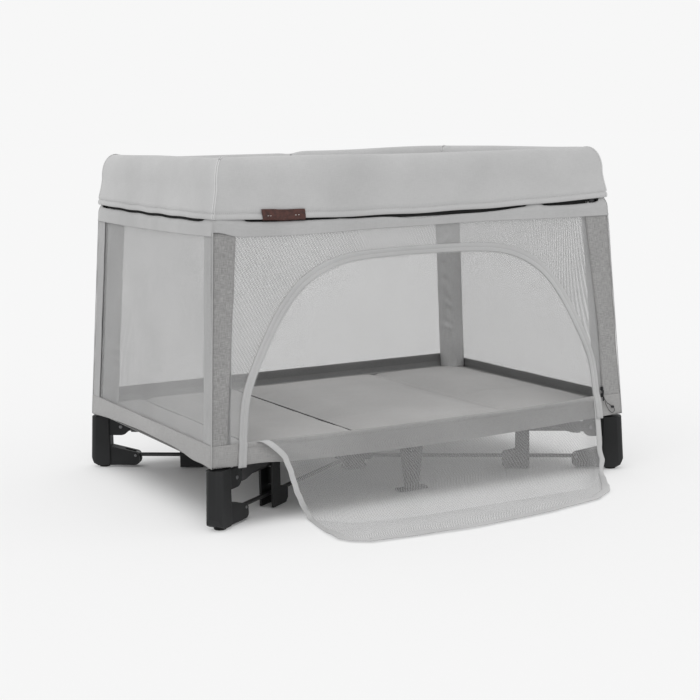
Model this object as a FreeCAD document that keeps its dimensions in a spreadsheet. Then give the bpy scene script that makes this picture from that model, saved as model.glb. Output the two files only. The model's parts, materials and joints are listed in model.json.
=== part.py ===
import FreeCAD, Part
# A folding travel play yard: a hub with four floor tubes and four corner legs, jointed top rails, mesh walls,
# a padded rail cuff, a mattress and a front wall with an arched door that hangs open onto the floor.
#
# X runs along the long side, Y from front to back and Z up. The origin is the centre of the hub's foot, on
# the floor. Everything is in millimetres. Each corner's floor gear lies in the upright plane through the hub
# and that corner, so it is drawn along X, as a distance from the hub, and turned to its corner.
import math
import os
import re

import Sketcher

Vector = FreeCAD.Vector
X_AXIS, Y_AXIS, Z_AXIS = Vector(1, 0, 0), Vector(0, 1, 0), Vector(0, 0, 1)

DIMENSIONS = {
    # floor gear
    "pad_x": 490, "pad_y": 334, "pad_radius": 14, "pad_height": 5, "pad_spigot": 5, "pad_spigot_height": 6,
    "foot_width": 38, "foot_depth": 46, "foot_top": 122, "foot_cheek_width": 30, "foot_ear_radius": 20,
    "foot_pivot_inset": 45, "foot_arm_reach": 88, "foot_arm_height": 50, "foot_arm_tip_height": 34,
    "foot_spigot": 16, "pivot_height": 97, "pivot_pin": 4, "floor_link": 478, "floor_tube_radius": 11,
    "blade_width": 14, "brace_drop": 69, "brace_offset": 33, "brace_radius": 4.5, "brace_pin": 3,
    "brace_eye": 7.5, "brace_eye_width": 10, "tube_wall": 1.5, "running_gap": 0.05, "side_gap": 0.5,
    "leg_pivot": 322, "leg_depth": 32, "leg_cheek": 5, "leg_inner_width": 24, "leg_toe": 47,
    "leg_toe_height": 40, "leg_web": 3.5, "leg_web_bottom": 44, "leg_web_height": 36,
    "hub_core_radius": 26, "hub_foot_radius": 30, "hub_foot_height": 4, "hub_top": 112,
    "hub_cap_radius": 48, "hub_cap_height": 8, "hub_ear": 5, "hub_ear_radius": 13, "hub_lower_ear": 4,
    "arm_pivot": 36, "mid_leg_reach": 262, "arm_radius": 8, "arm_eye": 9, "arm_eye_width": 12, "arm_pin": 3.5,
    "arm_ear": 4.5, "arm_ear_radius": 10,
    "mid_leg_top_width": 50, "mid_leg_bottom_width": 28, "mid_leg_depth": 16, "mid_leg_top": 107,
    "mid_plate_width": 70, "mid_plate_depth": 24, "mid_plate_height": 5, "mid_plate_lift": 0.5,
    "strap_length": 150, "strap_width": 25, "strap_thickness": 2.5, "strap_overlap": 20,
    # posts and top rails
    "post_foot_x": 488, "post_foot_y": 328, "post_foot_height": 124.5, "post_radius": 11,
    "collar_bottom": 626, "collar_length": 26, "collar_wall": 1.5,
    "spine_width": 26, "spine_depth": 13, "spine_bottom": 640,
    "rail_x": 447, "rail_y": 297, "rail_pivot_height": 714, "rail_radius": 9, "rail_drop": 10.5,
    "rail_lug_width": 8, "rail_lug_radius": 7.5, "rail_fork_width": 19, "rail_pin": 3,
    "button_length": 35, "button_width": 15, "button_height": 10, "button_gap": 0.5, "housing_wall": 5,
    # fabric
    "cuff_thickness": 50, "cuff_bottom": 616, "cuff_top": 733, "cuff_skin": 5, "cuff_gap": 0.3,
    "wall_foot_x": 509, "wall_foot_y": 346, "wall_bottom": 126, "wall_top_x": 479.3, "wall_top_y": 323.3,
    "wall_top": 608, "wall_skin": 2, "wall_gap": 0.5, "floor_skin": 2, "floor_x": 500, "floor_y": 337,
    "floor_corner": 60, "mattress_x": 494, "mattress_y": 332, "mattress_bottom": 128, "mattress_height": 30,
    "mattress_corner": 60, "mattress_gap": 1,
    "door_half_width": 448, "door_height": 366, "door_sill": 171, "door_bend": 209, "door_stand_off": 1.5,
    "flap_skin": 2.5, "flap_inset": 8, "flap_lift": 1, "flap_gap": 1.5,
    "hem_tag_left": 375, "hem_tag_right": 280, "hem_tag_height": 19, "hem_tag_skin": 1.6, "hem_tag_fold": 8,
    "hem_tag_drop": 3.8,
    "zip_x": 452, "zip_rise": 8, "zip_step": 20, "slider_depth": 5, "slider_height": 12,
    "zip_pull_width": 9, "zip_pull_length": 26, "zip_pull_skin": 1.5,
}
# The arched door's outline: shares of its half width and of its height, from the sill up to the crown.
ARCH_SHAPE = [
    (1, 0), (0.968, 0.265), (0.873, 0.519), (0.766, 0.73), (0.647, 0.874), (0.48, 0.967), (0.245, 1),
]
CORNERS = {
    "front_left": (-1, -1), "front_right": (1, -1), "back_right": (1, 1), "back_left": (-1, 1),
}

doc = FreeCAD.newDocument("travel_play_yard")
sheet = doc.addObject("Spreadsheet::Sheet", "Sizes")
for row, (alias, amount) in enumerate(DIMENSIONS.items(), start=1):
    sheet.set(f"A{row}", alias)
    sheet.set(f"B{row}", str(amount))
    sheet.setAlias(f"B{row}", alias)
doc.recompute()
parts = []


def size(alias):
    """A driving dimension, read from the sheet."""
    return float(sheet.get(alias))


def formula(text):
    """An expression over the sheet's cells, from one written with their bare aliases."""
    return re.sub(r"[a-z]\w+", lambda word: "Sizes." + word.group(0), text)


def bind(thing, **properties):
    """Binds each property to a sheet expression, or sets it where it is a plain number."""
    for name, amount in properties.items():
        if isinstance(amount, str):
            thing.setExpression(name, formula(amount))
        else:
            setattr(thing, name, amount)
    return thing


def place(x=0, y=0, z=0, axis=Z_AXIS, angle=0):
    return FreeCAD.Placement(Vector(x, y, z), FreeCAD.Rotation(axis, angle))


def box(length, width, height, x, y, z):
    """A box from its lowest corner; a width across Y given with y=None is centred on Y = 0."""
    solid = bind(doc.addObject("Part::Box", "block"), Length=length, Width=width, Height=height)
    solid.Placement.Base = Vector(x, 0 if y is None else y, z)
    if y is None:
        bind(solid, **{"Placement.Base.y": f"-({width}) / 2"})
    return solid


def rod(radius, height, placement):
    solid = bind(doc.addObject("Part::Cylinder", "round"), Radius=radius, Height=height)
    solid.Placement = placement
    return solid


def cross_pin(radius, width, x, z):
    """A pin, boss or bore along Y, centred on Y = 0, at (x, z)."""
    solid = rod(radius, width, place(x, 0, z, X_AXIS, -90))
    return bind(solid, **{"Placement.Base.y": f"-({width}) / 2"})


def upright(points, width):
    """A PartDesign body: a closed outline in the XZ plane, padded evenly about it.
    Each point is a pair of sheet expressions."""
    body = doc.addObject("PartDesign::Body", "profile")
    sketch = body.newObject("Sketcher::SketchObject", "outline")
    plane = next(f for f in body.Origin.OriginFeatures if f.Role == "XZ_Plane")
    sketch.AttachmentSupport = [(plane, "")]
    sketch.MapMode = "FlatFace"
    count = len(points)
    # The sides start as a regular polygon, and the constraints pull each corner to its place.
    turns = [2 * math.pi * i / count for i in range(count)]
    guess = [Vector(math.cos(turn), math.sin(turn), 0) * 50 for turn in turns]
    sketch.addGeometry([Part.LineSegment(a, b) for a, b in zip(guess, guess[1:] + guess[:1])], False)
    for i in range(count):
        sketch.addConstraint(Sketcher.Constraint("Coincident", i, 2, (i + 1) % count, 1))
    for i, corner in enumerate(points):
        for kind, text in zip(("DistanceX", "DistanceY"), corner):
            mark = sketch.addConstraint(Sketcher.Constraint(kind, -1, 1, i, 1, 10))
            sketch.setExpression(f"Constraints[{mark}]", formula(text))
    pad = body.newObject("PartDesign::Pad", "pad")
    pad.Profile = sketch
    pad.SideType = "Symmetric"
    bind(pad, Length=width)
    return body


def join(*solids):
    whole = doc.addObject("Part::MultiFuse", "joined")
    whole.Shapes = list(solids)
    return whole


def carve(base, *tools):
    for tool in tools:
        cut = doc.addObject("Part::Cut", "carved")
        cut.Base, cut.Tool = base, tool
        base = cut
    return base


def rounded(solid, radius, wanted):
    """The solid with the edges that wanted(edge) picks rounded to the radius."""
    doc.recompute()
    edges = [i + 1 for i, edge in enumerate(solid.Shape.Edges) if wanted(edge)]
    soft = doc.addObject("Part::Fillet", "softened")
    soft.Base = solid
    soft.Edges = [(i, radius, radius) for i in edges]
    return soft


def made(shape):
    """A feature whose shape comes from Part's own functions."""
    feature = doc.addObject("Part::Feature", "made")
    feature.Shape = shape
    return feature


def keep(label, solid, placement=None):
    """Names a finished sub-part and puts it in its place."""
    solid.Label = label
    if placement is not None:
        solid.Placement = placement.multiply(solid.Placement)
    parts.append(solid)
    return solid


def to_corner(corner):
    """The turn from the drawing plane to a corner's own upright plane."""
    side, end = CORNERS[corner]
    return place(angle=math.degrees(math.atan2(end * size("pad_y"), side * size("pad_x"))))


# Distances from the hub, in a corner's plane, that several sub-parts share.
pad_reach = math.hypot(size("pad_x"), size("pad_y"))
foot_pivot = pad_reach - size("foot_pivot_inset")
hub_pivot = foot_pivot - size("floor_link")
pivot_z = size("pivot_height")
brace_z = pivot_z - size("brace_drop")
brace_start = hub_pivot - size("brace_offset")
brace_end = foot_pivot - size("brace_offset")
leg_x = hub_pivot + size("leg_pivot")
# The rails' pivots: each half reaches from its corner pivot to the mid pivot and folds by the floor tubes'
# angle.
rail_reach = {
    "x": size("floor_link") * size("pad_x") / pad_reach,
    "y": size("floor_link") * size("pad_y") / pad_reach,
}
rail_z = size("rail_pivot_height")


def post_axis(side, end):
    """The post's lower end and its unit direction, leaning in towards the top rails."""
    low = Vector(side * size("post_foot_x"), end * size("post_foot_y"), size("post_foot_height"))
    high = Vector(side * size("rail_x"), end * size("rail_y"), rail_z)
    return low, (high - low).normalize()


def along_post(corner, start, radius, length):
    """A cylinder on a corner's post axis, from start above or below the post's lower end."""
    low, lean = post_axis(*CORNERS[corner])
    turn = FreeCAD.Rotation(Z_AXIS, lean)
    return rod(radius, length, FreeCAD.Placement(low + lean * start, turn))


def corner_foot(corner):
    """The moulded foot: a column, an upper ear for the floor tube and a lower arm for the brace rod."""
    inner = pad_reach - size("foot_depth") / 2 + 4
    outer = inner + size("foot_depth")
    toe = pad_reach - size("foot_arm_reach")
    column = upright([
        (f"{inner}", "foot_top"), (f"{inner}", "pad_height + 8"), (f"{inner + 8}", "pad_height"),
        (f"{outer - 16}", "pad_height"), (f"{outer - 5}", "pad_height + 6"),
        (f"{outer + 2}", "pad_height + 20"), (f"{outer - 3}", "foot_top"),
    ], "foot_width")
    column = rounded(column, 12, lambda e: e.Length > 80 and e.CenterOfMass.x > outer - 6)
    column = rounded(column, 5, lambda e: e.Length > 90 and e.CenterOfMass.x < inner + 1)
    arm = upright([
        (f"{inner + 6}", "foot_arm_height"), (f"{inner}", "foot_arm_height"),
        (f"{toe + 2}", "foot_arm_tip_height"), (f"{toe}", "pad_height"), (f"{inner + 6}", "pad_height"),
    ], "foot_cheek_width")
    arm = rounded(arm, 11, lambda e: abs(e.CenterOfMass.x - toe) < 3 and abs(e.CenterOfMass.y) < 1)
    ear_root = box(inner + 5 - foot_pivot, "foot_cheek_width", "2 * foot_ear_radius", foot_pivot, None,
                   pivot_z - size("foot_ear_radius"))
    ear = cross_pin("foot_ear_radius", "foot_cheek_width", foot_pivot, pivot_z)
    blade_start = foot_pivot - 30
    upper_slot = box(inner - 2 - blade_start, "blade_width + 2 * side_gap", 60, blade_start, None,
                     pivot_z - 30)
    lower_slot = box(50, "brace_eye_width + 2 * side_gap", 50, toe - 14, None, 0)
    socket = rod("pad_spigot", "pad_spigot_height", place(pad_reach, 0, size("pad_height")))
    solid = carve(join(column, arm, ear_root, ear), upper_slot, lower_slot, socket)
    pins = [
        cross_pin("pivot_pin", "foot_cheek_width", foot_pivot, pivot_z),
        cross_pin("brace_pin", "foot_cheek_width", brace_end, brace_z),
    ]
    solid = join(solid, *pins)
    solid.Placement = to_corner(corner)
    spigot = along_post(corner, -size("foot_spigot"), "post_radius - tube_wall - 0.1", 60)
    keep(f"corner_foot_{corner}", join(solid, spigot))


def rubber_pad(corner):
    disc = bind(doc.addObject("Part::Cone", "disc"), Radius1="pad_radius - 2", Radius2="pad_radius",
                Height="pad_height")
    disc.Placement = place(pad_reach)
    spigot = rod("pad_spigot", "pad_height + pad_spigot_height", place(pad_reach))
    keep(f"rubber_pad_{corner}", join(disc, spigot), to_corner(corner))


def clevis(reach):
    """Two ears and their pin at a rail's corner pivot. The rail runs off along +X, the arm back along -X."""
    width = "rail_fork_width"
    arm = box(reach - 12, width, 15, -reach, None, -8)
    ears = join(cross_pin("rail_lug_radius + 1", width, 0, 0), box(14, width, 15, -14, None, -8))
    ears = carve(ears, box(40, "rail_lug_width + 2 * side_gap", 40, -12, None, -20))
    return join(arm, ears, cross_pin("rail_pin", width, 0, 0))


def corner_post(corner):
    """The leaning post with its top bracket, which carries the corner pivots of two top rails."""
    side, end = CORNERS[corner]
    low, lean = post_axis(side, end)
    length = (rail_z - 20 - low.z) / lean.z
    tube = carve(along_post(corner, 0, "post_radius", length),
                 along_post(corner, -1, "post_radius - tube_wall", length - 12))
    collar = along_post(corner, (size("collar_bottom") - low.z) / lean.z, "post_radius + collar_wall",
                        "collar_length")
    collar = carve(collar, along_post(corner, 0, "post_radius - tube_wall", length - 12))
    post_x, post_y = size("rail_x"), size("rail_y")
    spine_left = post_x - size("spine_width") / 2
    spine = box("spine_width", "spine_depth", "rail_pivot_height - 6 - spine_bottom", spine_left, post_y + 1,
                size("spine_bottom"))
    cap = box("spine_width", "spine_depth + 4", 15, spine_left, post_y - 3, rail_z - 8)
    bracket = [spine, cap]
    for reach, turn, pivot in (
        (post_x - rail_reach["x"] + 10, 180, (rail_reach["x"], post_y)),
        (post_y - rail_reach["y"] + 2, -90, (post_x, rail_reach["y"])),
    ):
        arm = clevis(reach)
        arm.Placement = place(pivot[0], pivot[1], rail_z, Z_AXIS, turn)
        bracket.append(arm)
    bracket = join(*bracket)
    doc.recompute()
    mirror = FreeCAD.Matrix(side, 0, 0, 0, 0, end, 0, 0, 0, 0, 1, 0, 0, 0, 0, 1)
    bracket = made(bracket.Shape.transformGeometry(mirror))
    keep(f"corner_post_{corner}", join(tube, collar, bracket))


def floor_tube(corner):
    """The floor tube: a blade with a bore at each end, and a moulded wedge beside the foot."""
    start, end = hub_pivot + 14, foot_pivot - 24
    length = end - start
    tube = rod("floor_tube_radius", length, place(start, 0, pivot_z, Y_AXIS, 90))
    hollow = rod("floor_tube_radius - tube_wall", length - 40, place(start + 20, 0, pivot_z, Y_AXIS, 90))
    wedge = upright([
        (f"{end}", "pivot_height - 13"), (f"{end}", "pivot_height + 12"),
        (f"{end - 80}", "pivot_height + 12"), (f"{end - 80}", "pivot_height + 4"),
        (f"{end - 16}", "pivot_height - 13"),
    ], "2 * floor_tube_radius + 2")
    blades = []
    bottom = pivot_z - size("floor_tube_radius")
    for centre, root in ((hub_pivot, hub_pivot), (foot_pivot, foot_pivot - 28)):
        blades.append(cross_pin("floor_tube_radius", "blade_width", centre, pivot_z))
        blades.append(box(28, "blade_width", "2 * floor_tube_radius", root, None, bottom))
    solid = join(carve(tube, hollow), wedge, *blades)
    bores = [cross_pin("pivot_pin + running_gap", 40, x, pivot_z) for x in (hub_pivot, leg_x, foot_pivot)]
    keep(f"floor_tube_{corner}", carve(solid, *bores), to_corner(corner))


def brace_rod(corner):
    """The thin rod under the floor tube, with an eye at the hub, the inner leg and the foot."""
    shaft = rod("brace_radius", brace_end - brace_start, place(brace_start, 0, brace_z, Y_AXIS, 90))
    eye_places = (brace_start, leg_x - size("brace_offset"), brace_end)
    eyes = [cross_pin("brace_eye", "brace_eye_width", x, brace_z) for x in eye_places]
    bores = [cross_pin("brace_pin + running_gap", 30, x, brace_z) for x in eye_places]
    keep(f"brace_rod_{corner}", carve(join(shaft, *eyes), *bores), to_corner(corner))


def inner_leg(corner):
    """The yoke-shaped leg halfway along the floor tube. Its two cheeks are joined by a web on the hub's side,
    a bar at the toe and the two pins, which leaves the tube and the brace rod room to tilt between them."""
    half = size("leg_depth") / 2
    toe = leg_x - size("leg_toe")
    width = "leg_inner_width + 2 * leg_cheek"
    outline = upright([
        (f"{leg_x + half}", "1"), (f"{leg_x + half}", "pivot_height"), (f"{leg_x - half}", "pivot_height"),
        (f"{leg_x - half}", "leg_toe_height + 2"), (f"{toe + 3}", "leg_toe_height - 4"), (f"{toe}", "30"),
        (f"{toe}", "10"), (f"{toe + 9}", "1"),
    ], width)
    head = cross_pin("leg_depth / 2", width, leg_x, pivot_z)
    gap = box(120, "leg_inner_width", 160, leg_x - 60, None, 0)
    bridges = [
        box("leg_web", "leg_inner_width + leg_cheek", "leg_web_height", leg_x - half, None,
            size("leg_web_bottom")),
        box(6, "leg_inner_width + leg_cheek", 8, toe + 1, None, 9),
    ]
    brace_x = leg_x - size("brace_offset")
    bosses = carve(cross_pin(6, width, brace_x, brace_z),
                   box(30, "brace_eye_width + 2 * side_gap", 30, brace_x - 15, None, brace_z - 15))
    pins = [cross_pin("pivot_pin", width, leg_x, pivot_z), cross_pin("brace_pin", width, brace_x, brace_z)]
    cheeks = carve(join(outline, head), gap)
    keep(f"inner_leg_{corner}", join(cheeks, *bridges, bosses, *pins), to_corner(corner))


def hub():
    """The hub: a core on a foot, with paired ears and pins for the floor tubes, brace rods and side arms."""
    solids = [
        rod("hub_core_radius", "hub_top", place()),
        rod("hub_foot_radius", "hub_foot_height", place()),
        rod("hub_cap_radius", "hub_cap_height", place(z=size("hub_top") - size("hub_cap_height"))),
    ]
    upper_slot, lower_slot = "blade_width + 2 * side_gap", "brace_eye_width + 2 * side_gap"
    upper_width, lower_width = upper_slot + " + 2 * hub_ear", lower_slot + " + 2 * hub_lower_ear"
    for corner in CORNERS:
        upper = join(cross_pin("hub_ear_radius", upper_width, hub_pivot, pivot_z),
                     box(hub_pivot - 20, upper_width, "2 * hub_ear_radius", 20, None,
                         pivot_z - size("hub_ear_radius")))
        upper = carve(upper, box(80, upper_slot, 60, hub_pivot - 15, None, pivot_z - 30))
        lower = join(cross_pin("brace_eye + 0.5", lower_width, brace_start, brace_z),
                     box(brace_start - 15, lower_width, "2 * brace_eye + 1", 15, None,
                         brace_z - size("brace_eye") - 0.5))
        lower = carve(lower, box(40, lower_slot, 40, brace_start - 9, None, brace_z - 20))
        pins = [cross_pin("pivot_pin", upper_width, hub_pivot, pivot_z),
                cross_pin("brace_pin", lower_width, brace_start, brace_z)]
        group = join(upper, lower, *pins)
        group.Placement = to_corner(corner)
        solids.append(group)
    body = join(*solids)
    reach, ear_radius = size("arm_pivot"), size("arm_ear_radius")
    slot_width = size("arm_eye_width") + 2 * size("side_gap")
    ears_width = slot_width + 2 * size("arm_ear")
    for end in (-1, 1):
        ears = join(cross_pin("arm_ear_radius", ears_width, reach, pivot_z),
                    box(reach - 15, ears_width, "2 * arm_ear_radius", 15, None, pivot_z - ear_radius))
        ears.Placement = place(angle=90 * end)
        slot = box(slot_width, 40, 24, -slot_width / 2, end * reach - 20 + 10.5 * end, pivot_z - 12)
        pin = rod("arm_pin", ears_width, place(-ears_width / 2, end * reach, pivot_z, Y_AXIS, 90))
        body = join(carve(join(body, ears), slot), pin)
    keep("hub_body", body)


def pull_strap():
    """The webbing loop on the hub that is pulled up to fold the floor, doubled along its middle."""
    start, lift = -size("strap_length") / 2, size("hub_top")
    band = box("strap_length", "strap_width", "strap_thickness", start, None, lift)
    layer = box("strap_length - 2 * strap_overlap", "strap_width", "strap_thickness",
                start + size("strap_overlap"), None, lift + size("strap_thickness"))
    keep("pull_strap", join(band, layer))


def side_arm(name, turn):
    """The short arm from the hub to the leg in the middle of a long side."""
    start, end = size("arm_pivot"), size("mid_leg_reach")
    shaft = rod("arm_radius", end - start - 28, place(start + 14, 0, pivot_z, Y_AXIS, 90))
    solids = [shaft]
    for x, root in ((start, start), (end, end - 16)):
        solids.append(cross_pin("arm_eye", "arm_eye_width", x, pivot_z))
        solids.append(box(16, "arm_eye_width", 12, root, None, pivot_z - 6))
    bores = [cross_pin("arm_pin + running_gap", 30, x, pivot_z) for x in (start, end)]
    keep(f"side_arm_{name}", carve(join(*solids), *bores), place(angle=turn))


def mid_leg(name, end):
    """The tapered leg in the middle of a long side, slotted for its arm, on a flat plate."""
    leg = upright([
        ("-mid_leg_bottom_width / 2", "3"), ("mid_leg_bottom_width / 2", "3"),
        ("mid_leg_top_width / 2", "mid_leg_top - 12"), ("mid_leg_top_width / 2 - 8", "mid_leg_top"),
        ("8 - mid_leg_top_width / 2", "mid_leg_top"), ("-mid_leg_top_width / 2", "mid_leg_top - 12"),
    ], "mid_leg_depth")
    plate = box("mid_plate_width", "mid_plate_depth", "mid_plate_height", -size("mid_plate_width") / 2, None,
                size("mid_plate_lift"))
    plate = rounded(plate, 2, lambda e: e.CenterOfMass.z > size("mid_plate_height"))
    slot = box("arm_eye_width + 2 * side_gap", 40, 60, -size("arm_eye_width") / 2 - size("side_gap"), -20,
               pivot_z - 13)
    pin = rod("arm_pin", 30, place(-15, 0, pivot_z, Y_AXIS, 90))
    solid = join(carve(join(leg, plate), slot), pin)
    keep(f"mid_leg_{name}", solid, place(y=end * size("mid_leg_reach")))


def rail_half(label, span, forked, pivot, turn):
    """Half of a top rail, drawn from its corner pivot at the origin to its mid pivot at X = span. The tube
    hangs under the line between the pivots, so that the two halves fold flat against each other. The forked
    half also holds the latch button in a housing under the tube."""
    drop = -size("rail_drop")
    low = drop - size("rail_radius")
    lug_points = [(0, 7), (28, -3), (28, low), (20, low), (-5, -5)]
    tube = rod("rail_radius", span - 40, place(20, 0, drop, Y_AXIS, 90))
    hollow = rod("rail_radius - tube_wall", span - 80, place(40, 0, drop, Y_AXIS, 90))
    lug = join(upright([(f"{x}", f"{z}") for x, z in lug_points], "rail_lug_width"),
               cross_pin("rail_lug_radius", "rail_lug_width", 0, 0))
    ending = "rail_fork_width" if forked else "rail_lug_width"
    end_points = [(f"{span - x}", f"{z}") for x, z in lug_points]
    inner = join(upright(end_points, ending), cross_pin("rail_lug_radius", ending, span, 0))
    if forked:
        inner = carve(inner, box(60, "rail_lug_width + 2 * side_gap", 60, span - 21, None, -40))
    solid = join(carve(tube, hollow), lug, inner)
    bores = [cross_pin("rail_pin + running_gap", 30, 0, 0)]
    button_start, wall, gap = span - 76, size("housing_wall"), size("button_gap")
    if forked:
        housing = box("button_length + 2 * housing_wall + 4", "button_width + 2 * housing_wall", 18,
                      button_start - wall - 2, None, low - 13)
        recess = box("button_length + 2 * button_gap", "button_width + 2 * button_gap", 13,
                     button_start - gap, None, low - 14)
        solid = join(solid, cross_pin("rail_pin", ending, span, 0), carve(housing, recess))
    else:
        bores.append(cross_pin("rail_pin + running_gap", 30, span, 0))
    spot = place(pivot[0], pivot[1], rail_z, Z_AXIS, turn)
    keep(label, carve(solid, *bores), spot)
    if forked:
        button = box("button_length", "button_width", "button_height", button_start, None, low - 18)
        button = rounded(button, 2, lambda e: e.CenterOfMass.z < low - 16)
        keep(label.replace("rail", "latch_button"), button, spot)


def top_frame():
    """The four top rails in halves, their latch buttons and the padded cuff halves over them."""
    for name, end in (("front", -1), ("back", 1)):
        for hand, side in (("left", -1), ("right", 1)):
            turn = 0 if side < 0 else 180
            pivot = (side * rail_reach["x"], end * size("rail_y"))
            rail_half(f"{name}_rail_{hand}", rail_reach["x"], side < 0, pivot, turn)
            cuff(f"{name}_cuff_{hand}", side, end, "x")
    for name, side in (("left", -1), ("right", 1)):
        for hand, end in (("front", -1), ("back", 1)):
            turn = 90 if end < 0 else -90
            pivot = (side * size("rail_x"), end * rail_reach["y"])
            rail_half(f"{name}_rail_{hand}", rail_reach["y"], end < 0, pivot, turn)
            cuff(f"{name}_cuff_{hand}", side, end, "y")


def cuff_profile(inset, low):
    """An inverted U as a face across X: a round crown over straight sides that reach down to low."""
    wide = size("cuff_thickness") / 2 - inset
    spring = size("cuff_top") - size("cuff_thickness") / 2
    crown = Part.Arc(Vector(0, wide, spring), Vector(0, 0, spring + wide), Vector(0, -wide, spring)).toShape()
    sides = Part.makePolygon([
        Vector(0, -wide, spring), Vector(0, -wide, low), Vector(0, wide, low), Vector(0, wide, spring),
    ])
    return Part.Face(Part.Wire([crown] + sides.Edges))


def cuff(label, side, end, along):
    """A padded cuff half over one rail half, cut at 45 degrees where two cuffs meet at a corner.
    It is drawn along +X with its outer face at +Y, and mirrored or swapped over to its own corner."""
    half, gap = size("cuff_thickness") / 2, size("cuff_gap")
    span = size("rail_x") if along == "x" else size("rail_y")
    reach = Vector(span + half, 0, 0)
    outer = cuff_profile(0, size("cuff_bottom")).extrude(reach)
    sleeve = outer.cut(cuff_profile(size("cuff_skin"), size("cuff_bottom") - 1).extrude(reach))
    middle_gap = Part.makeBox(1, 4 * half, 200, Vector(0, -2 * half, size("cuff_bottom") - 36))
    near, far, past = span - half - 1 - gap, span + half + 1 - gap, span + 3 * half
    beyond_mitre = Part.makePolygon([
        Vector(near, -half - 1, 0), Vector(far, half + 1, 0), Vector(past, half + 1, 0),
        Vector(past, -half - 1, 0), Vector(near, -half - 1, 0),
    ])
    tall = Vector(0, 0, 900)
    sleeve = sleeve.cut(middle_gap).cut(Part.Face(beyond_mitre).extrude(tall))
    if along == "x":
        turned = FreeCAD.Matrix(side, 0, 0, 0, 0, end, 0, end * size("rail_y"), 0, 0, 1, 0, 0, 0, 0, 1)
    else:
        turned = FreeCAD.Matrix(0, side, 0, side * size("rail_x"), end, 0, 0, 0, 0, 0, 1, 0, 0, 0, 0, 1)
    keep(label, made(sleeve.transformGeometry(turned)))


def wall_plate(sign, along, inset):
    """A flat side wall of fabric on the sign's side, leaning in towards its top. It runs along X or Y, with
    its ends inset from its neighbours."""
    feet = (size("wall_foot_x"), size("wall_foot_y"))
    tops = (size("wall_top_x"), size("wall_top_y"))
    own, other = (0, 1) if along == "x" else (1, 0)
    levels = ((size("wall_bottom"), feet), (size("wall_top"), tops))
    rings = []
    for depth in (0, size("wall_skin")):
        corners = []
        for hand, step in ((-1, 0), (1, 0), (1, 1), (-1, 1)):
            height, reach = levels[step]
            run, across = hand * (reach[own] - inset), sign * (reach[other] - depth)
            corners.append(Vector(run, across, height) if along == "x" else Vector(across, run, height))
        rings.append(Part.makePolygon(corners + corners[:1]))
    return Part.makeLoft(rings, True, True)


def arch_face(inset):
    """The door's arched outline as a face in the XZ plane, its sill on X at Z = 0, drawn in by the inset."""
    wide, tall = size("door_half_width") - inset, size("door_height") - inset
    right = [Vector(share * wide, 0, rise * tall) for share, rise in ARCH_SHAPE]
    left = [Vector(-p.x, 0, p.z) for p in reversed(right)]
    curve = Part.BSplineCurve()
    curve.interpolate(right + left)
    sill = Part.LineSegment(left[-1], right[0])
    return Part.Face(Part.Wire([curve.toShape(), sill.toShape()]))


def wall_lean():
    """The front wall's lean from upright, in degrees."""
    rise = size("wall_top") - size("wall_bottom")
    return math.degrees(math.atan((size("wall_foot_y") - size("wall_top_y")) / rise))


def sill_face():
    """How far the front wall's outer face is from the middle at the height of the door's sill."""
    rise = size("door_sill") - size("wall_bottom")
    return size("wall_foot_y") - rise * math.tan(math.radians(wall_lean()))


def walls():
    """The four fabric walls. The front one has the arched door opening."""
    opening = arch_face(0).extrude(Vector(0, 40, 0))
    opening.Placement = place(0, -sill_face() - 20, size("door_sill"), X_AXIS, -wall_lean())
    keep("front_wall", made(wall_plate(-1, "x", 0).cut(opening)))
    keep("back_wall", made(wall_plate(1, "x", 0)))
    inset = size("wall_skin") + size("wall_gap")
    keep("left_wall", made(wall_plate(-1, "y", inset)))
    keep("right_wall", made(wall_plate(1, "y", inset)))


def door_flap():
    """The arched door panel: it hangs from the sill to the floor, then lies flat in front of the yard."""
    face = arch_face(size("flap_inset"))
    skin, bend, ground, gap = size("flap_skin"), size("door_bend"), size("flap_lift"), size("flap_gap")
    sill, hinge_y = size("door_sill"), size("wall_foot_y") + size("door_stand_off")
    wide, tall = 2 * size("door_half_width"), size("door_height")
    solid = face.extrude(Vector(0, skin, 0))
    upper = solid.common(Part.makeBox(wide, 20, bend - gap, Vector(-wide / 2, -10, 1)))
    lower = solid.common(Part.makeBox(wide, 20, tall, Vector(-wide / 2, -10, bend + gap)))
    fall = math.degrees(math.asin((sill - ground - 1) / bend))
    run = bend * math.cos(math.radians(fall))
    hanging = upper.translated(Vector(0, -skin / 2, 0))
    lying = lower.translated(Vector(0, 0, -bend))
    keep("door_flap_upper", made(hanging), place(0, -hinge_y, sill, X_AXIS, 90 + fall))
    keep("door_flap_lower", made(lying), place(0, -hinge_y - run, ground, X_AXIS, 90))


def floor_and_mattress():
    """The floor cloth with its cut corners, and the mattress that lies on it."""
    x, y, corner = size("floor_x"), size("floor_y"), size("floor_corner")
    ring = [Vector(sx * (x - cx), sy * (y - cy), 0) for sx, sy, cx, cy in (
        (1, 1, 0, corner), (1, 1, corner, 0), (-1, 1, corner, 0), (-1, 1, 0, corner),
        (-1, -1, 0, corner), (-1, -1, corner, 0), (1, -1, corner, 0), (1, -1, 0, corner))]
    cloth = Part.Face(Part.makePolygon(ring + ring[:1])).extrude(Vector(0, 0, size("floor_skin")))
    level = size("mattress_bottom") - size("mattress_gap") - size("floor_skin")
    keep("floor_cloth", made(cloth), place(z=level))
    pad = box("2 * mattress_x", "2 * mattress_y", "mattress_height", -size("mattress_x"),
              -size("mattress_y"), size("mattress_bottom"))
    height = size("mattress_height")
    keep("mattress", rounded(pad, size("mattress_corner"), lambda e: abs(e.Length - height) < 0.1))


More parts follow.
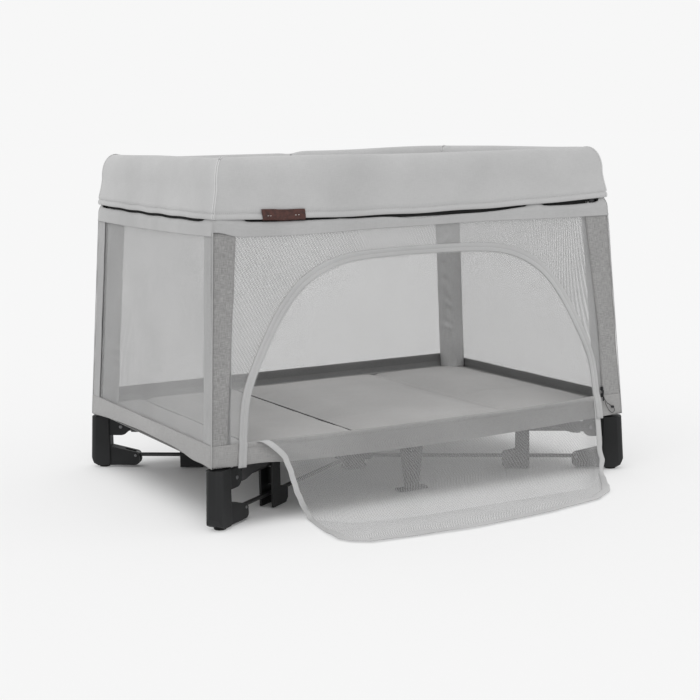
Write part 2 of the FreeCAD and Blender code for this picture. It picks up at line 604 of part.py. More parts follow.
def hem_tag():
    """The leather tab folded round the front cuff's lower hem."""
    left, length = -size("hem_tag_left"), "hem_tag_left - hem_tag_right"
    face_y = -size("rail_y") - size("cuff_thickness") / 2 - 2
    low = size("cuff_bottom") - size("hem_tag_drop")
    front = box(length, "hem_tag_skin", "hem_tag_height", left, face_y, low)
    under = box(length, "hem_tag_fold", "hem_tag_skin", left, face_y, low)
    keep("hem_tag", join(front, under))


def zip_pulls():
    """Two sliders on the door's zip at its right foot, each with a hanging pull."""
    face_y = -sill_face()
    solids = []
    for step in (0, 1):
        x = size("zip_x") - step * 1.5
        z = size("door_sill") + size("zip_rise") + size("zip_step") * step
        slider = box("zip_pull_width", "slider_depth", "slider_height", x, face_y - 6, z)
        pull = box("zip_pull_width - 3", "zip_pull_skin", "zip_pull_length", x + 1.5, face_y - 8, z - 18)
        bail = box(3, 3, 4, x + 3, face_y - 8, z + 4)
        solids.append(join(slider, pull, bail))
    keep("zip_pulls", join(*solids))


for corner in CORNERS:
    corner_foot(corner)
    rubber_pad(corner)
    corner_post(corner)
    floor_tube(corner)
    brace_rod(corner)
    inner_leg(corner)
hub()
pull_strap()
side_arm("front", -90)
side_arm("back", 90)
mid_leg("front", -1)
mid_leg("back", 1)
top_frame()
walls()
floor_and_mattress()
door_flap()
hem_tag()
zip_pulls()
doc.recompute()

failed = [o.Name for o in doc.Objects if "Invalid" in o.State or "Error" in o.State]
failed += [p.Label for p in parts if p.Shape.isNull() or not p.Shape.isValid()]
if failed:
    raise SystemExit(f"these failed: {failed}")
os.makedirs("parts", exist_ok=True)
for part in parts:
    part.Shape.exportStep(f"parts/{part.Label}.step")
print(len(parts), "sub-parts written")
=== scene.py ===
import json
import math

import bmesh
import bpy
from mathutils import Matrix, Vector, noise

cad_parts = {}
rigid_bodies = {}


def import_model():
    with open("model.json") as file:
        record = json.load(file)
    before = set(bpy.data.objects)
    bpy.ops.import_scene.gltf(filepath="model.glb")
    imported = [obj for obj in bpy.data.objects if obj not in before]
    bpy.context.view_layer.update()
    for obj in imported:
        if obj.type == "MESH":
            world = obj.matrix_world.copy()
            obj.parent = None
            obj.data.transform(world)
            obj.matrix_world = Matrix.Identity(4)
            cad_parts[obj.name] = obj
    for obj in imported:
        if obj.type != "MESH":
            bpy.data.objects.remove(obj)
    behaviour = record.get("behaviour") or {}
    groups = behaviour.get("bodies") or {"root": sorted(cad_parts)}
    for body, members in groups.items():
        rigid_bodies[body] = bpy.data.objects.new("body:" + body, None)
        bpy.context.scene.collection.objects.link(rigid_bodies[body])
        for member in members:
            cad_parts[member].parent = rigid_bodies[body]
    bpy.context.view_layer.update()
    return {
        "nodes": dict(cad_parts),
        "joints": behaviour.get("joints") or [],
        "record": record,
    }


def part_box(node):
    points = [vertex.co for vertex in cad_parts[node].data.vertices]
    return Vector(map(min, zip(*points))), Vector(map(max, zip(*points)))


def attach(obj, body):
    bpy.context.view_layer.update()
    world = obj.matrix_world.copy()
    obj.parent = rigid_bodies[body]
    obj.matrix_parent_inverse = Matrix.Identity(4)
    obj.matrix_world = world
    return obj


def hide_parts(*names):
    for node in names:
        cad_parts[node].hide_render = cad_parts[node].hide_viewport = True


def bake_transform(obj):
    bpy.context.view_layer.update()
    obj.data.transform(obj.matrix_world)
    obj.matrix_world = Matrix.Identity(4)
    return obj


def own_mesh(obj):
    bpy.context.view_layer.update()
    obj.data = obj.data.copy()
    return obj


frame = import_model()

CORNERS = {
    "front_left": (-1, -1), "front_right": (1, -1), "back_right": (1, 1), "back_left": (-1, 1),
}
# Each side wall: the axis that it runs along, the sign of its outward direction, the corners that its low and high
# ends reach, and the corner that it rides with.
SIDES = {
    "front": ("x", -1, "front_left", "front_right", "front_left"),
    "back": ("x", 1, "back_left", "back_right", "back_left"),
    "left": ("y", -1, "front_left", "back_left", "front_left"),
    "right": ("y", 1, "front_right", "back_right", "front_right"),
}

# The fabric box, from the CAD walls and cuffs.
SKIN = 0.002
WALL_LOW, WALL_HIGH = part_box("front_wall")
SIDE_LOW, SIDE_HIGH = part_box("left_wall")
FOOT_HALF = (-SIDE_LOW.x, -WALL_LOW.y)
TOP_HALF = (-SIDE_HIGH.x + SKIN, -WALL_HIGH.y + SKIN)
WALL_BOTTOM, WALL_TOP = WALL_LOW.z, WALL_HIGH.z
CUFF_LOW, CUFF_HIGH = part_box("front_cuff_left")
CUFF_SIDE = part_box("left_cuff_front")[0]
CUFF_HALF = (CUFF_HIGH.y - CUFF_LOW.y) / 2
RAIL_LINE = (-CUFF_SIDE.x - CUFF_HALF, -CUFF_LOW.y - CUFF_HALF)
CUFF_BOTTOM, CUFF_TOP = CUFF_LOW.z, CUFF_HIGH.z
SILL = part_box("door_flap_upper")[1].z
FLAP_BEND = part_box("door_flap_lower")[1]
MATTRESS_LOW, MATTRESS_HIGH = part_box("mattress")
FLOOR_CLOTH_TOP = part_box("floor_cloth")[1].z
UP, FRONTWARDS = Vector((0, 0, 1)), Vector((0, -1, 0))


# ---------------------------------------------------------------- small helpers

def smooth(value, low=0.0, high=1.0):
    """0 below low, 1 above high, and an even curve between them."""
    share = min(1.0, max(0.0, (value - low) / (high - low)))
    return share * share * (3 - 2 * share)


def hump(value, centre, width):
    """A soft bump of height 1 at the centre, gone at width away from it."""
    return math.cos(min(1.0, abs(value - centre) / width) * math.pi / 2) ** 2


def mix(a, b, share):
    return a + (b - a) * share


def along_points(value, points):
    """The height at a value along a smooth line through (value, height) points given in order."""
    if value <= points[0][0]:
        return points[0][1]
    for (start, low), (end, high) in zip(points, points[1:]):
        if value <= end:
            return mix(low, high, mix((value - start) / (end - start), smooth(value, start, end), 0.35))
    return points[-1][1]


def swell(point, scale, seed):
    """Smooth unevenness from -1 to 1, about scale metres across."""
    return noise.noise(Vector(point) / scale + Vector((seed * 7.3, seed * 3.1, seed * 1.7)))


def half_size(z):
    """Half the fabric box's length and width at a height."""
    share = (z - WALL_BOTTOM) / (WALL_TOP - WALL_BOTTOM)
    return tuple(mix(low, high, share) for low, high in zip(FOOT_HALF, TOP_HALF))


def axis_of(side):
    """0 for a wall that runs along X, 1 for one that runs along Y."""
    return 0 if SIDES[side][0] == "x" else 1


def wall_half(side, z=WALL_BOTTOM):
    """Half a side wall's run at a height."""
    return half_size(z)[axis_of(side)]


def on_side(side, run, line, z):
    """A point at a distance along a side and a distance out from the middle of the yard."""
    line *= SIDES[side][1]
    return Vector((line, run, z) if axis_of(side) else (run, line, z))


def on_wall(side, run, z, out=0.0):
    """The point on a side wall at a distance along it and a height, moved outwards by out."""
    return on_side(side, run, half_size(z)[1 - axis_of(side)] + out, z)


def outward(side):
    return on_side(side, 0, 1, 0)


def curve_through(points, count):
    """count + 1 points evenly spaced along a smooth line through the given ones."""
    ends = [points[0] * 2 - points[1]] + list(points) + [points[-1] * 2 - points[-2]]
    fine = []
    for before, start, end, after in zip(ends, ends[1:], ends[2:], ends[3:]):
        for step in range(24):
            t = step / 24
            fine.append(0.5 * (2 * start + (end - before) * t + (2 * before - 5 * start + 4 * end - after) * t * t
                               + (3 * start - before - 3 * end + after) * t ** 3))
    fine.append(points[-1].copy())
    reach = [0.0]
    for a, b in zip(fine, fine[1:]):
        reach.append(reach[-1] + (b - a).length)
    evenly, k = [], 0
    for step in range(count + 1):
        want = reach[-1] * step / count
        while k < len(reach) - 2 and reach[k + 1] < want:
            k += 1
        share = (want - reach[k]) / max(reach[k + 1] - reach[k], 1e-9)
        evenly.append(fine[k].lerp(fine[k + 1], min(1.0, share)))
    return evenly


def new_piece(name, vertices, faces, materials, uvs=None, face_materials=None):
    """A smooth mesh object from plain lists. uvs holds one pair in metres for each vertex."""
    mesh = bpy.data.meshes.new(name)
    mesh.from_pydata([tuple(v) for v in vertices], [], faces)
    for material in materials:
        mesh.materials.append(material)
    if face_materials:
        mesh.polygons.foreach_set("material_index", face_materials)
    if uvs:
        layer = mesh.uv_layers.new(name="cloth")
        for loop in mesh.loops:
            layer.data[loop.index].uv = uvs[loop.vertex_index]
    mesh.validate()
    mesh.shade_smooth()
    made = bpy.data.objects.new(name, mesh)
    bpy.context.scene.collection.objects.link(made)
    return made


def reshaped(piece, change):
    """Runs a change on a piece's mesh."""
    shape = bmesh.new()
    shape.from_mesh(piece.data)
    change(shape)
    shape.to_mesh(piece.data)
    shape.free()


def turned_out(piece):
    """Turns a closed mesh's faces outwards."""
    reshaped(piece, lambda shape: bmesh.ops.recalc_face_normals(shape, faces=shape.faces))


def softened(piece, width):
    """Rounds a piece's edges a little."""
    bevel = piece.modifiers.new("soft", "BEVEL")
    bevel.width, bevel.segments = width, 2


def shares(count):
    """Even steps from 0 to 1."""
    return [k / count for k in range(count + 1)]


def rows_of(down, across, point):
    """Rows of points: point(s, t) at shares s down and t across, both from 0 to 1."""
    return [[point(s, t) for t in shares(across)] for s in shares(down)]


def ring_quads(rings, wide, first=0):
    """The quads between closed rings of points that follow each other in a list."""
    return [tuple(first + q for q in (i * wide + k, i * wide + (k + 1) % wide, (i + 1) * wide + (k + 1) % wide,
                                      (i + 1) * wide + k)) for i in range(rings - 1) for k in range(wide)]


def grid_lists(rows, closed=False):
    """Vertices, quads and UVs in metres for rows of points. closed joins each row's end to its start."""
    wide = len(rows[0])
    faces = ring_quads(len(rows), wide)
    if not closed:
        faces = [f for k, f in enumerate(faces) if (k + 1) % wide]
    across = [0.0]
    for a, b in zip(rows, rows[1:]):
        across.append(across[-1] + (b[wide // 2] - a[wide // 2]).length)
    uvs = []
    for i, row in enumerate(rows):
        along = 0.0
        for j, point in enumerate(row):
            if j:
                along += (point - row[j - 1]).length
            uvs.append((along, across[i]))
    return [p for row in rows for p in row], faces, uvs


def cloth_piece(name, rows, material, way, thickness=0.0, lining=None):
    """A sheet from rows of points whose faces look along way. With a thickness it gets a second face behind, which
    may have its own lining."""
    vertices, faces, uvs = grid_lists(rows)
    made = new_piece(name, vertices, faces, [material] + ([lining] if lining else []), uvs)
    if sum(face.normal.dot(way) * face.area for face in made.data.polygons) < 0:
        made.data.flip_normals()
    if thickness:
        solid = made.modifiers.new("thickness", "SOLIDIFY")
        solid.thickness = thickness
        solid.offset = -1
        if lining:
            solid.material_offset = 1
    return made


def tubes_piece(name, paths, radius, material, sides=8):
    """One mesh of several closed tubes, for piping, stitches and zip teeth."""
    vertices, faces = [], []
    for path in paths:
        first = len(vertices)
        for i, point in enumerate(path):
            ahead = (path[min(i + 1, len(path) - 1)] - path[max(i - 1, 0)]).normalized()
            u = ahead.orthogonal().normalized()
            v = ahead.cross(u)
            end_scale = 0.55 if i in (0, len(path) - 1) else 1.0
            for k in range(sides):
                turn = math.tau * k / sides
                vertices.append(point + (u * math.cos(turn) + v * math.sin(turn)) * radius * end_scale)
        faces += ring_quads(len(path), sides, first)
        faces.append(tuple(first + k for k in reversed(range(sides))))
        faces.append(tuple(first + (len(path) - 1) * sides + k for k in range(sides)))
    return new_piece(name, vertices, faces, [material])


def stitches_along(path, length, gap):
    """Short three-point paths along a line, one for each stitch."""
    total = sum((b - a).length for a, b in zip(path, path[1:]))
    count = max(2, int(total / (length + gap)))
    even = curve_through(path, count * 4)
    return [even[4 * k:4 * k + 3] for k in range(count)]


def placed(piece, body):
    """The piece moves with a body."""
    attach(piece, body)
    return piece


def with_wall(piece, side):
    """The piece belongs to a side wall: it rides with the wall's corner."""
    along, rider = SIDES[side][0], SIDES[side][4]
    placed(piece, f"corner_{rider}")
    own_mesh(piece)


def with_front(piece, body):
    """The piece moves with a body of the front wall."""
    placed(piece, body)
    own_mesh(piece)


# ---------------------------------------------------------------- materials

def feed(tree, target, inputs):
    """Gives a node's inputs their values, or links the sockets that feed them."""
    for key, value in inputs.items():
        if isinstance(value, bpy.types.NodeSocket):
            tree.links.new(value, target.inputs[key])
        else:
            target.inputs[key].default_value = value


def node(tree, kind, inputs=None, **settings):
    """A shader node. Each input is a value or the socket that feeds it."""
    made = tree.nodes.new("ShaderNode" + kind)
    for key, value in settings.items():
        setattr(made, key, value)
    feed(tree, made, inputs or {})
    return made


def sums(tree, operation, first, second=None):
    inputs = {0: first} if second is None else {0: first, 1: second}
    return node(tree, "Math", inputs, operation=operation).outputs[0]


def spread(tree, value, low, high, start=0.3, stop=0.7):
    """The value's span from start to stop, drawn onto low to high. 0.3 to 0.7 is where most noise lies."""
    return node(tree, "MapRange", {0: value, 1: start, 2: stop, 3: low, 4: high}).outputs[0]


def object_place(tree):
    return node(tree, "TexCoord").outputs["Object"]


def grain_noise(tree, scale, detail):
    return node(tree, "TexNoise", {"Vector": object_place(tree), "Scale": scale, "Detail": detail}).outputs["Fac"]


def scaled(tree, colour, share):
    return node(tree, "VectorMath", {0: colour, 3: share}, operation="SCALE").outputs[0]


def blended(tree, share, first, second):
    return node(tree, "Mix", {0: share, 6: first, 7: second}, data_type="RGBA").outputs[2]


def relief(tree, height, strength, distance):
    return node(tree, "Bump", {"Height": height, "Strength": strength, "Distance": distance}).outputs[0]


def grey(value, warm=0.0):
    return (value * (1 + warm), value, value * (1 - warm), 1)


def new_material(name):
    material = bpy.data.materials.new(name)
    material.use_nodes = True
    return material, material.node_tree, material.node_tree.nodes["Principled BSDF"]


def cloth_directions(tree, from_uv):
    """Two sockets that run along the warp and the weft, in metres."""
    split = node(tree, "SeparateXYZ", {0: node(tree, "TexCoord").outputs["UV" if from_uv else "Object"]}).outputs
    if from_uv:
        return split[0], split[1]
    return sums(tree, "ADD", split[0], split[2]), sums(tree, "ADD", split[1], split[2])


def streaks(tree, warp, weft, along, across):
    """Noise drawn out along one direction, like slubs in a yarn."""
    scaled_ways = {0: sums(tree, "MULTIPLY", warp, along), 1: sums(tree, "MULTIPLY", weft, across)}
    place = node(tree, "CombineXYZ", scaled_ways).outputs[0]
    return node(tree, "TexNoise", {"Vector": place, "Scale": 1.0, "Detail": 3.0}).outputs["Fac"]


def woven(name, colour, dark, pitch=0.0011, heather=0.35, bump=0.35, from_uv=True):
    """Plain weave: crossed yarns as bump, slubs of a darker tone, and broad faint unevenness."""
    material, tree, shader = new_material(name)
    warp, weft = cloth_directions(tree, from_uv)
    waves = [sums(tree, "SINE", sums(tree, "MULTIPLY", way, math.pi / pitch)) for way in (warp, weft)]
    slubs = sums(tree, "ADD", streaks(tree, warp, weft, 70, 900), streaks(tree, warp, weft, 900, 70))
    slubs = spread(tree, slubs, 0.0, heather, 0.78, 1.22)
    tone = scaled(tree, blended(tree, slubs, colour, dark), spread(tree, grain_noise(tree, 5.0, 4.0), 0.92, 1.08))
    height = sums(tree, "ADD", sums(tree, "MULTIPLY", *waves), sums(tree, "MULTIPLY", slubs, 1.6))
    feed(tree, shader, {"Base Color": tone, "Normal": relief(tree, height, bump, pitch / 4), "Roughness": 0.92,
                        "Sheen Weight": 0.25, "Sheen Roughness": 0.6, "Specular IOR Level": 0.2})
    return material


def netting(name, colour, cover, pitch=0.0024, inner=1.0):
    """Knitted mesh: rounded holes in staggered rows, which a higher cover makes smaller. inner is how bright its
    inner face is beside its outer one, which paints shade on the inner face."""
    material, tree, shader = new_material(name)
    warp, weft = cloth_directions(tree, True)
    waves = [sums(tree, "SINE", sums(tree, "MULTIPLY", sums(tree, way, warp, weft), math.tau / pitch * 0.7071))
             for way in ("ADD", "SUBTRACT")]
    pattern = sums(tree, "MULTIPLY", *waves)
    # Seen at a slant, the thickness of the threads closes the holes.
    slant = node(tree, "LayerWeight", {"Blend": 0.5}).outputs["Facing"]
    edge = spread(tree, sums(tree, "MULTIPLY", slant, slant), cover ** 2, cover ** 2 + 0.25, 0.0, 1.0)
    past = sums(tree, "SUBTRACT", sums(tree, "ABSOLUTE", pattern), edge)
    # Faces seen from behind are scaled by inner: painted shade on the mesh's inner face.
    behind = node(tree, "NewGeometry").outputs["Backfacing"]
    shade = sums(tree, "MULTIPLY", spread(tree, grain_noise(tree, 9.0, 3.0), 0.93, 1.07),
                 spread(tree, behind, 1.0, inner, 0.0, 1.0))
    feed(tree, shader, {"Base Color": scaled(tree, colour[:3], shade), "Alpha": spread(tree, past, 0, 1, 0.08, -0.08),
                        "Normal": relief(tree, pattern, 0.4, 0.0004), "Roughness": 0.85, "Specular IOR Level": 0.2})
    return material


def moulded(name, colour, rough=0.5, grain=900.0, bump=0.12, coat=0.0, shine=0.5, metal=0.0):
    """Moulded plastic or rubber: a fine spark texture, softer and paler on worn edges."""
    material, tree, shader = new_material(name)
    broad = grain_noise(tree, 18.0, 5.0)
    worn = spread(tree, node(tree, "NewGeometry").outputs["Pointiness"], 0.0, 0.35, 0.52, 0.62)
    pale = tuple(min(1.0, c * 2.2 + 0.01) for c in colour) + (1,)
    tone = blended(tree, worn, scaled(tree, colour, spread(tree, broad, 0.88, 1.15)), pale)
    feed(tree, shader, {"Base Color": tone, "Roughness": spread(tree, broad, rough - 0.06, rough + 0.08),
                        "Normal": relief(tree, grain_noise(tree, grain, 2.0), bump, 0.0004), "Coat Weight": coat,
                        "Specular IOR Level": shine, "Metallic": metal})
    return material


def coated_steel(name, colour, rough=0.42):
    """Powder-coated tube: orange-peel texture and slight shine."""
    return moulded(name, colour, rough=rough, grain=420.0, bump=0.2, coat=0.15)


def bare_metal(name, colour, rough=0.32):
    """Zinc-plated screws and sliders, faintly brushed."""
    return moulded(name, colour, rough=rough, grain=1500.0, bump=0.08, metal=0.9)


def leather(name, colour):
    """Tab leather: cell-like grain, darker pores and paler rubbed places."""
    material, tree, shader = new_material(name)
    grain = node(tree, "TexVoronoi", {"Vector": object_place(tree), "Scale": 900.0}, feature="DISTANCE_TO_EDGE")
    mottle = grain_noise(tree, 130.0, 6.0)
    dark, pale = (tuple(c * share for c in colour) + (1,) for share in (0.6, 1.5))
    height = sums(tree, "ADD", sums(tree, "MULTIPLY", grain.outputs["Distance"], 4.0), mottle)
    feed(tree, shader, {"Base Color": blended(tree, spread(tree, mottle, 0.0, 1.0), dark, pale),
                        "Normal": relief(tree, height, 0.5, 0.0005),
                        "Roughness": spread(tree, grain_noise(tree, 40.0, 2.0), 0.5, 0.75)})
    return material


CUFF_CLOTH = woven("cuff_cloth", grey(0.48), grey(0.37), pitch=0.0012, heather=0.30, bump=0.25)
WELT_CLOTH = woven("welt_cloth", grey(0.60), grey(0.45), pitch=0.0010, heather=0.2, bump=0.3)
VALANCE_CLOTH = woven("valance_cloth", grey(0.43), grey(0.33))
BAND_CLOTH = woven("band_cloth", grey(0.36, 0.01), grey(0.19, 0.01), pitch=0.0014, heather=0.85, bump=0.5)
# A paler copy of the band cloth for the band's faces on the left wall: painted light on that side.
BAND_CLOTH_LIT_SIDE = woven("band_cloth_lit_side", grey(0.38), grey(0.27), pitch=0.0014, heather=0.6, bump=0.4)
SKIRT_CLOTH = woven("skirt_cloth", grey(0.35, 0.012), grey(0.23, 0.012), pitch=0.0013, heather=0.6, bump=0.4)
MATTRESS_CLOTH = woven("mattress_cloth", grey(0.42, 0.014), grey(0.32, 0.014), pitch=0.0012, heather=0.4,
                       bump=0.3, from_uv=False)
SLEEVE_CLOTH = woven("sleeve_cloth", grey(0.50), grey(0.38), pitch=0.0013, heather=0.5, bump=0.4)
SKIRT_LINING = woven("skirt_lining", grey(0.30), grey(0.21), pitch=0.0013, heather=0.5, bump=0.4)
# Near-black cloth that paints shade: inside the cuffs, behind the valances, in the strips under the cuffs and in the
# mattress's deep seams.
PAINTED_SHADE_LINING = woven("painted_shade_lining", grey(0.025), grey(0.012), heather=0.4)
BINDING_CLOTH = woven("binding_cloth", grey(0.46), grey(0.36), pitch=0.0009, heather=0.3, bump=0.5)
FLAP_BINDING_CLOTH = woven("flap_binding_cloth", grey(0.52), grey(0.40), pitch=0.0009, heather=0.3, bump=0.5)
STRAP_CLOTH = woven("strap_cloth", grey(0.03), grey(0.012), pitch=0.0016, bump=0.8, from_uv=False)
THREAD = moulded("thread", (0.50, 0.50, 0.49), rough=0.8, grain=2500.0, bump=0.3)
PALE_THREAD = moulded("pale_thread", (0.75, 0.72, 0.66), rough=0.8, grain=2500.0, bump=0.3)
# inner=0.52 paints shade on the wall mesh's inner face, seen inside the yard.
WALL_NET = netting("wall_net", grey(0.43), 0.59, inner=0.52)
DOOR_NET = netting("door_net", grey(0.38), 0.56, pitch=0.0056)
ZIP_COIL = moulded("zip_coil", (0.30, 0.30, 0.30), rough=0.45, grain=1500.0)
FOOT_PLASTIC = moulded("foot_plastic", (0.014, 0.0145, 0.015), rough=0.55, shine=0.22)
PAD_RUBBER = moulded("pad_rubber", (0.012, 0.012, 0.012), rough=0.75, grain=600.0, bump=0.3, shine=0.2)
POST_STEEL = coated_steel("post_steel", (0.05, 0.05, 0.055))
ROD_STEEL = coated_steel("rod_steel", (0.016, 0.016, 0.017), rough=0.38)
BUTTON_PLASTIC = moulded("button_plastic", (0.05, 0.05, 0.055), rough=0.4)
SCREW_METAL = bare_metal("screw_metal", (0.16, 0.16, 0.165))
SLIDER_METAL = bare_metal("slider_metal", (0.03, 0.03, 0.032), rough=0.38)
TAB_LEATHER = leather("tab_leather", (0.060, 0.020, 0.015))

SLOT_LOOK = {
    "foot_plastic": FOOT_PLASTIC, "pad_rubber": PAD_RUBBER, "post_steel": POST_STEEL, "tube_steel": ROD_STEEL,
    "rod_steel": ROD_STEEL, "rail_steel": POST_STEEL, "button_plastic": BUTTON_PLASTIC, "strap_webbing": STRAP_CLOTH,
}


def dress_cad_nodes():
    """The CAD pieces that stay get the procedural material of their slot."""
    for part in frame["record"]["subparts"]:
        look = SLOT_LOOK.get(part["material_slot"])
        if look:
            mesh = frame["nodes"][part["node"]].data
            mesh.materials.clear()
            mesh.materials.append(look)


# ---------------------------------------------------------------- camera, light and floor

def camera_and_light():
    """A camera in front of the yard and to its left, a little above the cuff, an even white sky and one soft sun."""
    eye = Vector((-1.6618, -3.0141, 0.7976))
    azimuth, drop, roll = (math.radians(angle) for angle in (28.81, 8.62, -1.025))
    ahead = Vector((math.sin(azimuth) * math.cos(drop), math.cos(azimuth) * math.cos(drop), -math.sin(drop)))
    level = Vector((math.cos(azimuth), -math.sin(azimuth), 0))
    above = level.cross(ahead)
    right = level * math.cos(roll) + above * math.sin(roll)
    up = above * math.cos(roll) - level * math.sin(roll)
    camera = bpy.data.objects.new("camera", bpy.data.cameras.new("camera"))
    camera.matrix_world = Matrix.Translation(eye) @ Matrix((right, up, -ahead)).transposed().to_4x4()
    camera.data.lens, camera.data.sensor_width = 77.4, 36

    scene = bpy.context.scene
    scene.camera = camera
    scene.world = bpy.data.worlds.new("studio")
    scene.world.use_nodes = True
    tree = scene.world.node_tree
    feed(tree, tree.nodes["Background"], {"Color": (1, 1, 1, 1), "Strength": 0.93})
    scene.view_settings.view_transform = "Standard"

    sun = bpy.data.lights.new("soft_sun", "SUN")
    sun.energy, sun.angle = 0.55, math.radians(50)
    lamp = bpy.data.objects.new("soft_sun", sun)
    lamp.rotation_euler = [math.radians(angle) for angle in (28, -14, -20)]
    for made in (camera, lamp):
        scene.collection.objects.link(made)


def floor():
    """A wide pale floor with a faint painted glow of its own, so that it meets the background without an edge. The
    glow fades out under the yard, which paints the shade that the real floor has there."""
    reach = 60.0
    made = new_piece("floor", [(x * reach, y * reach, 0) for x, y in CORNERS.values()], [(0, 1, 2, 3)], [])
    material, tree, shader = new_material("floor_paint")
    place = node(tree, "SeparateXYZ", {0: object_place(tree)}).outputs
    far = [sums(tree, "DIVIDE", sums(tree, "ABSOLUTE", place[k]), FOOT_HALF[k]) for k in (0, 1)]
    # away is 0 under the yard and 1 beyond it: the glow's mask, whose fall-off paints the shadow under the yard.
    away = node(tree, "MapRange", {0: sums(tree, "MAXIMUM", *far), 1: 0.80, 2: 1.12},
                interpolation_type="SMOOTHSTEP").outputs[0]
    tone = spread(tree, away, 0.80, 0.42, 0.0, 1.0)
    feed(tree, shader, {"Base Color": node(tree, "CombineXYZ", {0: tone, 1: tone, 2: tone}).outputs[0],
                        "Emission Strength": sums(tree, "MULTIPLY", away, 0.478), "Emission Color": (1, 1, 1, 1),
                        "Roughness": 1.0, "Specular IOR Level": 0.0})
    made.data.materials.append(material)
    made.location.z = -0.0006


# ---------------------------------------------------------------- the padded cuff

HEM_BAND = 0.0125
HEM_END = HEM_BAND + 0.003
# How far the hem stands out from the cuff's side, on the walls along X and those along Y.
HEM_FLARE = {"x": 0.004, "y": 0.0095}
HEM_HEIGHT = {"front_left": -0.003, "front_right": 0.004, "back_right": 0.001, "back_left": 0.002}
HEM_SAG = {"front": 0.010, "back": 0.006, "left": 0.002, "right": 0.005}
PADDING = 0.005
# The cuff's bend at a corner, as distances past the rail's end.
BLEND_START, BLEND_END = 0.012, -0.014
CUFF_TALL = CUFF_TOP - CUFF_BOTTOM
CROWN_RISE = 0.055
SPRING = CUFF_TALL - CROWN_RISE


def crown_drop(side, run):
    """How far the cuff's crown is below its nominal height: the rear rail sags under its padding on one half."""
    if side == "back":
        left = 0.0085 * smooth(run, -0.50, -0.44) * (1 - 0.55 * smooth(run, -0.01, 0.05))
        return left * (1 - smooth(run, 0.10, 0.42)) + 0.002 * hump(run, 0.0, 0.03)
    return 0.002 * hump(run, 0.0, 0.45) if side == "front" else 0.0


def hem_shift(side, share):
    """How far the cuff's hem is above its nominal height, at a share of the side's half run from -1 to 1."""
    low, high = SIDES[side][2:4]
    level = mix(HEM_HEIGHT[low], HEM_HEIGHT[high], (share + 1) / 2)
    flutter = 0.0008 * math.sin(share * 17 + len(side)) * (1 - share ** 2)
    return level - HEM_SAG[side] * (1 - share ** 2) + flutter


def cuff_profile(along):
    """The cuff's outer line from the outer hem over the top to the inner hem: offsets and heights above the hem.
    The last number of each point is how much it follows the hem's sag."""
    flare = HEM_FLARE[along]
    hem = ((-0.0012, 0.0005), (0.0002, 0.0022), (0.0006, 0.006), (0.0001, 0.0095), (-0.0017, HEM_BAND - 0.0004),
           (-0.0018, HEM_BAND + 0.0006), (-0.0004, HEM_END))
    line = [(CUFF_HALF + flare + out, height, 1) for out, height in hem]
    line += [(CUFF_HALF + flare * (1 - t) ** 1.3, mix(HEM_END, SPRING, t), 1 - t) for t in shares(8)[1:]]
    for t in shares(20)[1:-1]:
        turn = math.pi * t
        line.append((CUFF_HALF * math.cos(turn), SPRING + CROWN_RISE * math.sin(turn) ** 0.9, 0))
    line += [(-CUFF_HALF - 0.001 * math.sin(t * math.pi), mix(0.006, SPRING, t), 1 - t) for t in reversed(shares(8))]
    return line + [(-CUFF_HALF + 0.0012, 0.003, 1)]


def half_names(side, end):
    """The corner at an end of a side, and the word for that end in the names of the rail's and the cuff's halves."""
    corner = SIDES[side][3 if end > 0 else 2]
    return corner, corner.split("_")[1 - axis_of(side)]


def with_rail(piece, side, end):
    """Bakes the piece's placement into its mesh. The span near the corner where its half of the rail meets the
    corner's body is worked out, but not used.
    """
    corner, hand = half_names(side, end)
    rail = f"{side}_rail_{hand}"
    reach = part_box(rail)[0 if end < 0 else 1][axis_of(side)]
    start, stop = ((0, run, 0) if axis_of(side) else (run, 0, 0)
                   for run in (reach + end * BLEND_START, reach + end * BLEND_END))
    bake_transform(piece)
    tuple(start)
    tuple(stop)


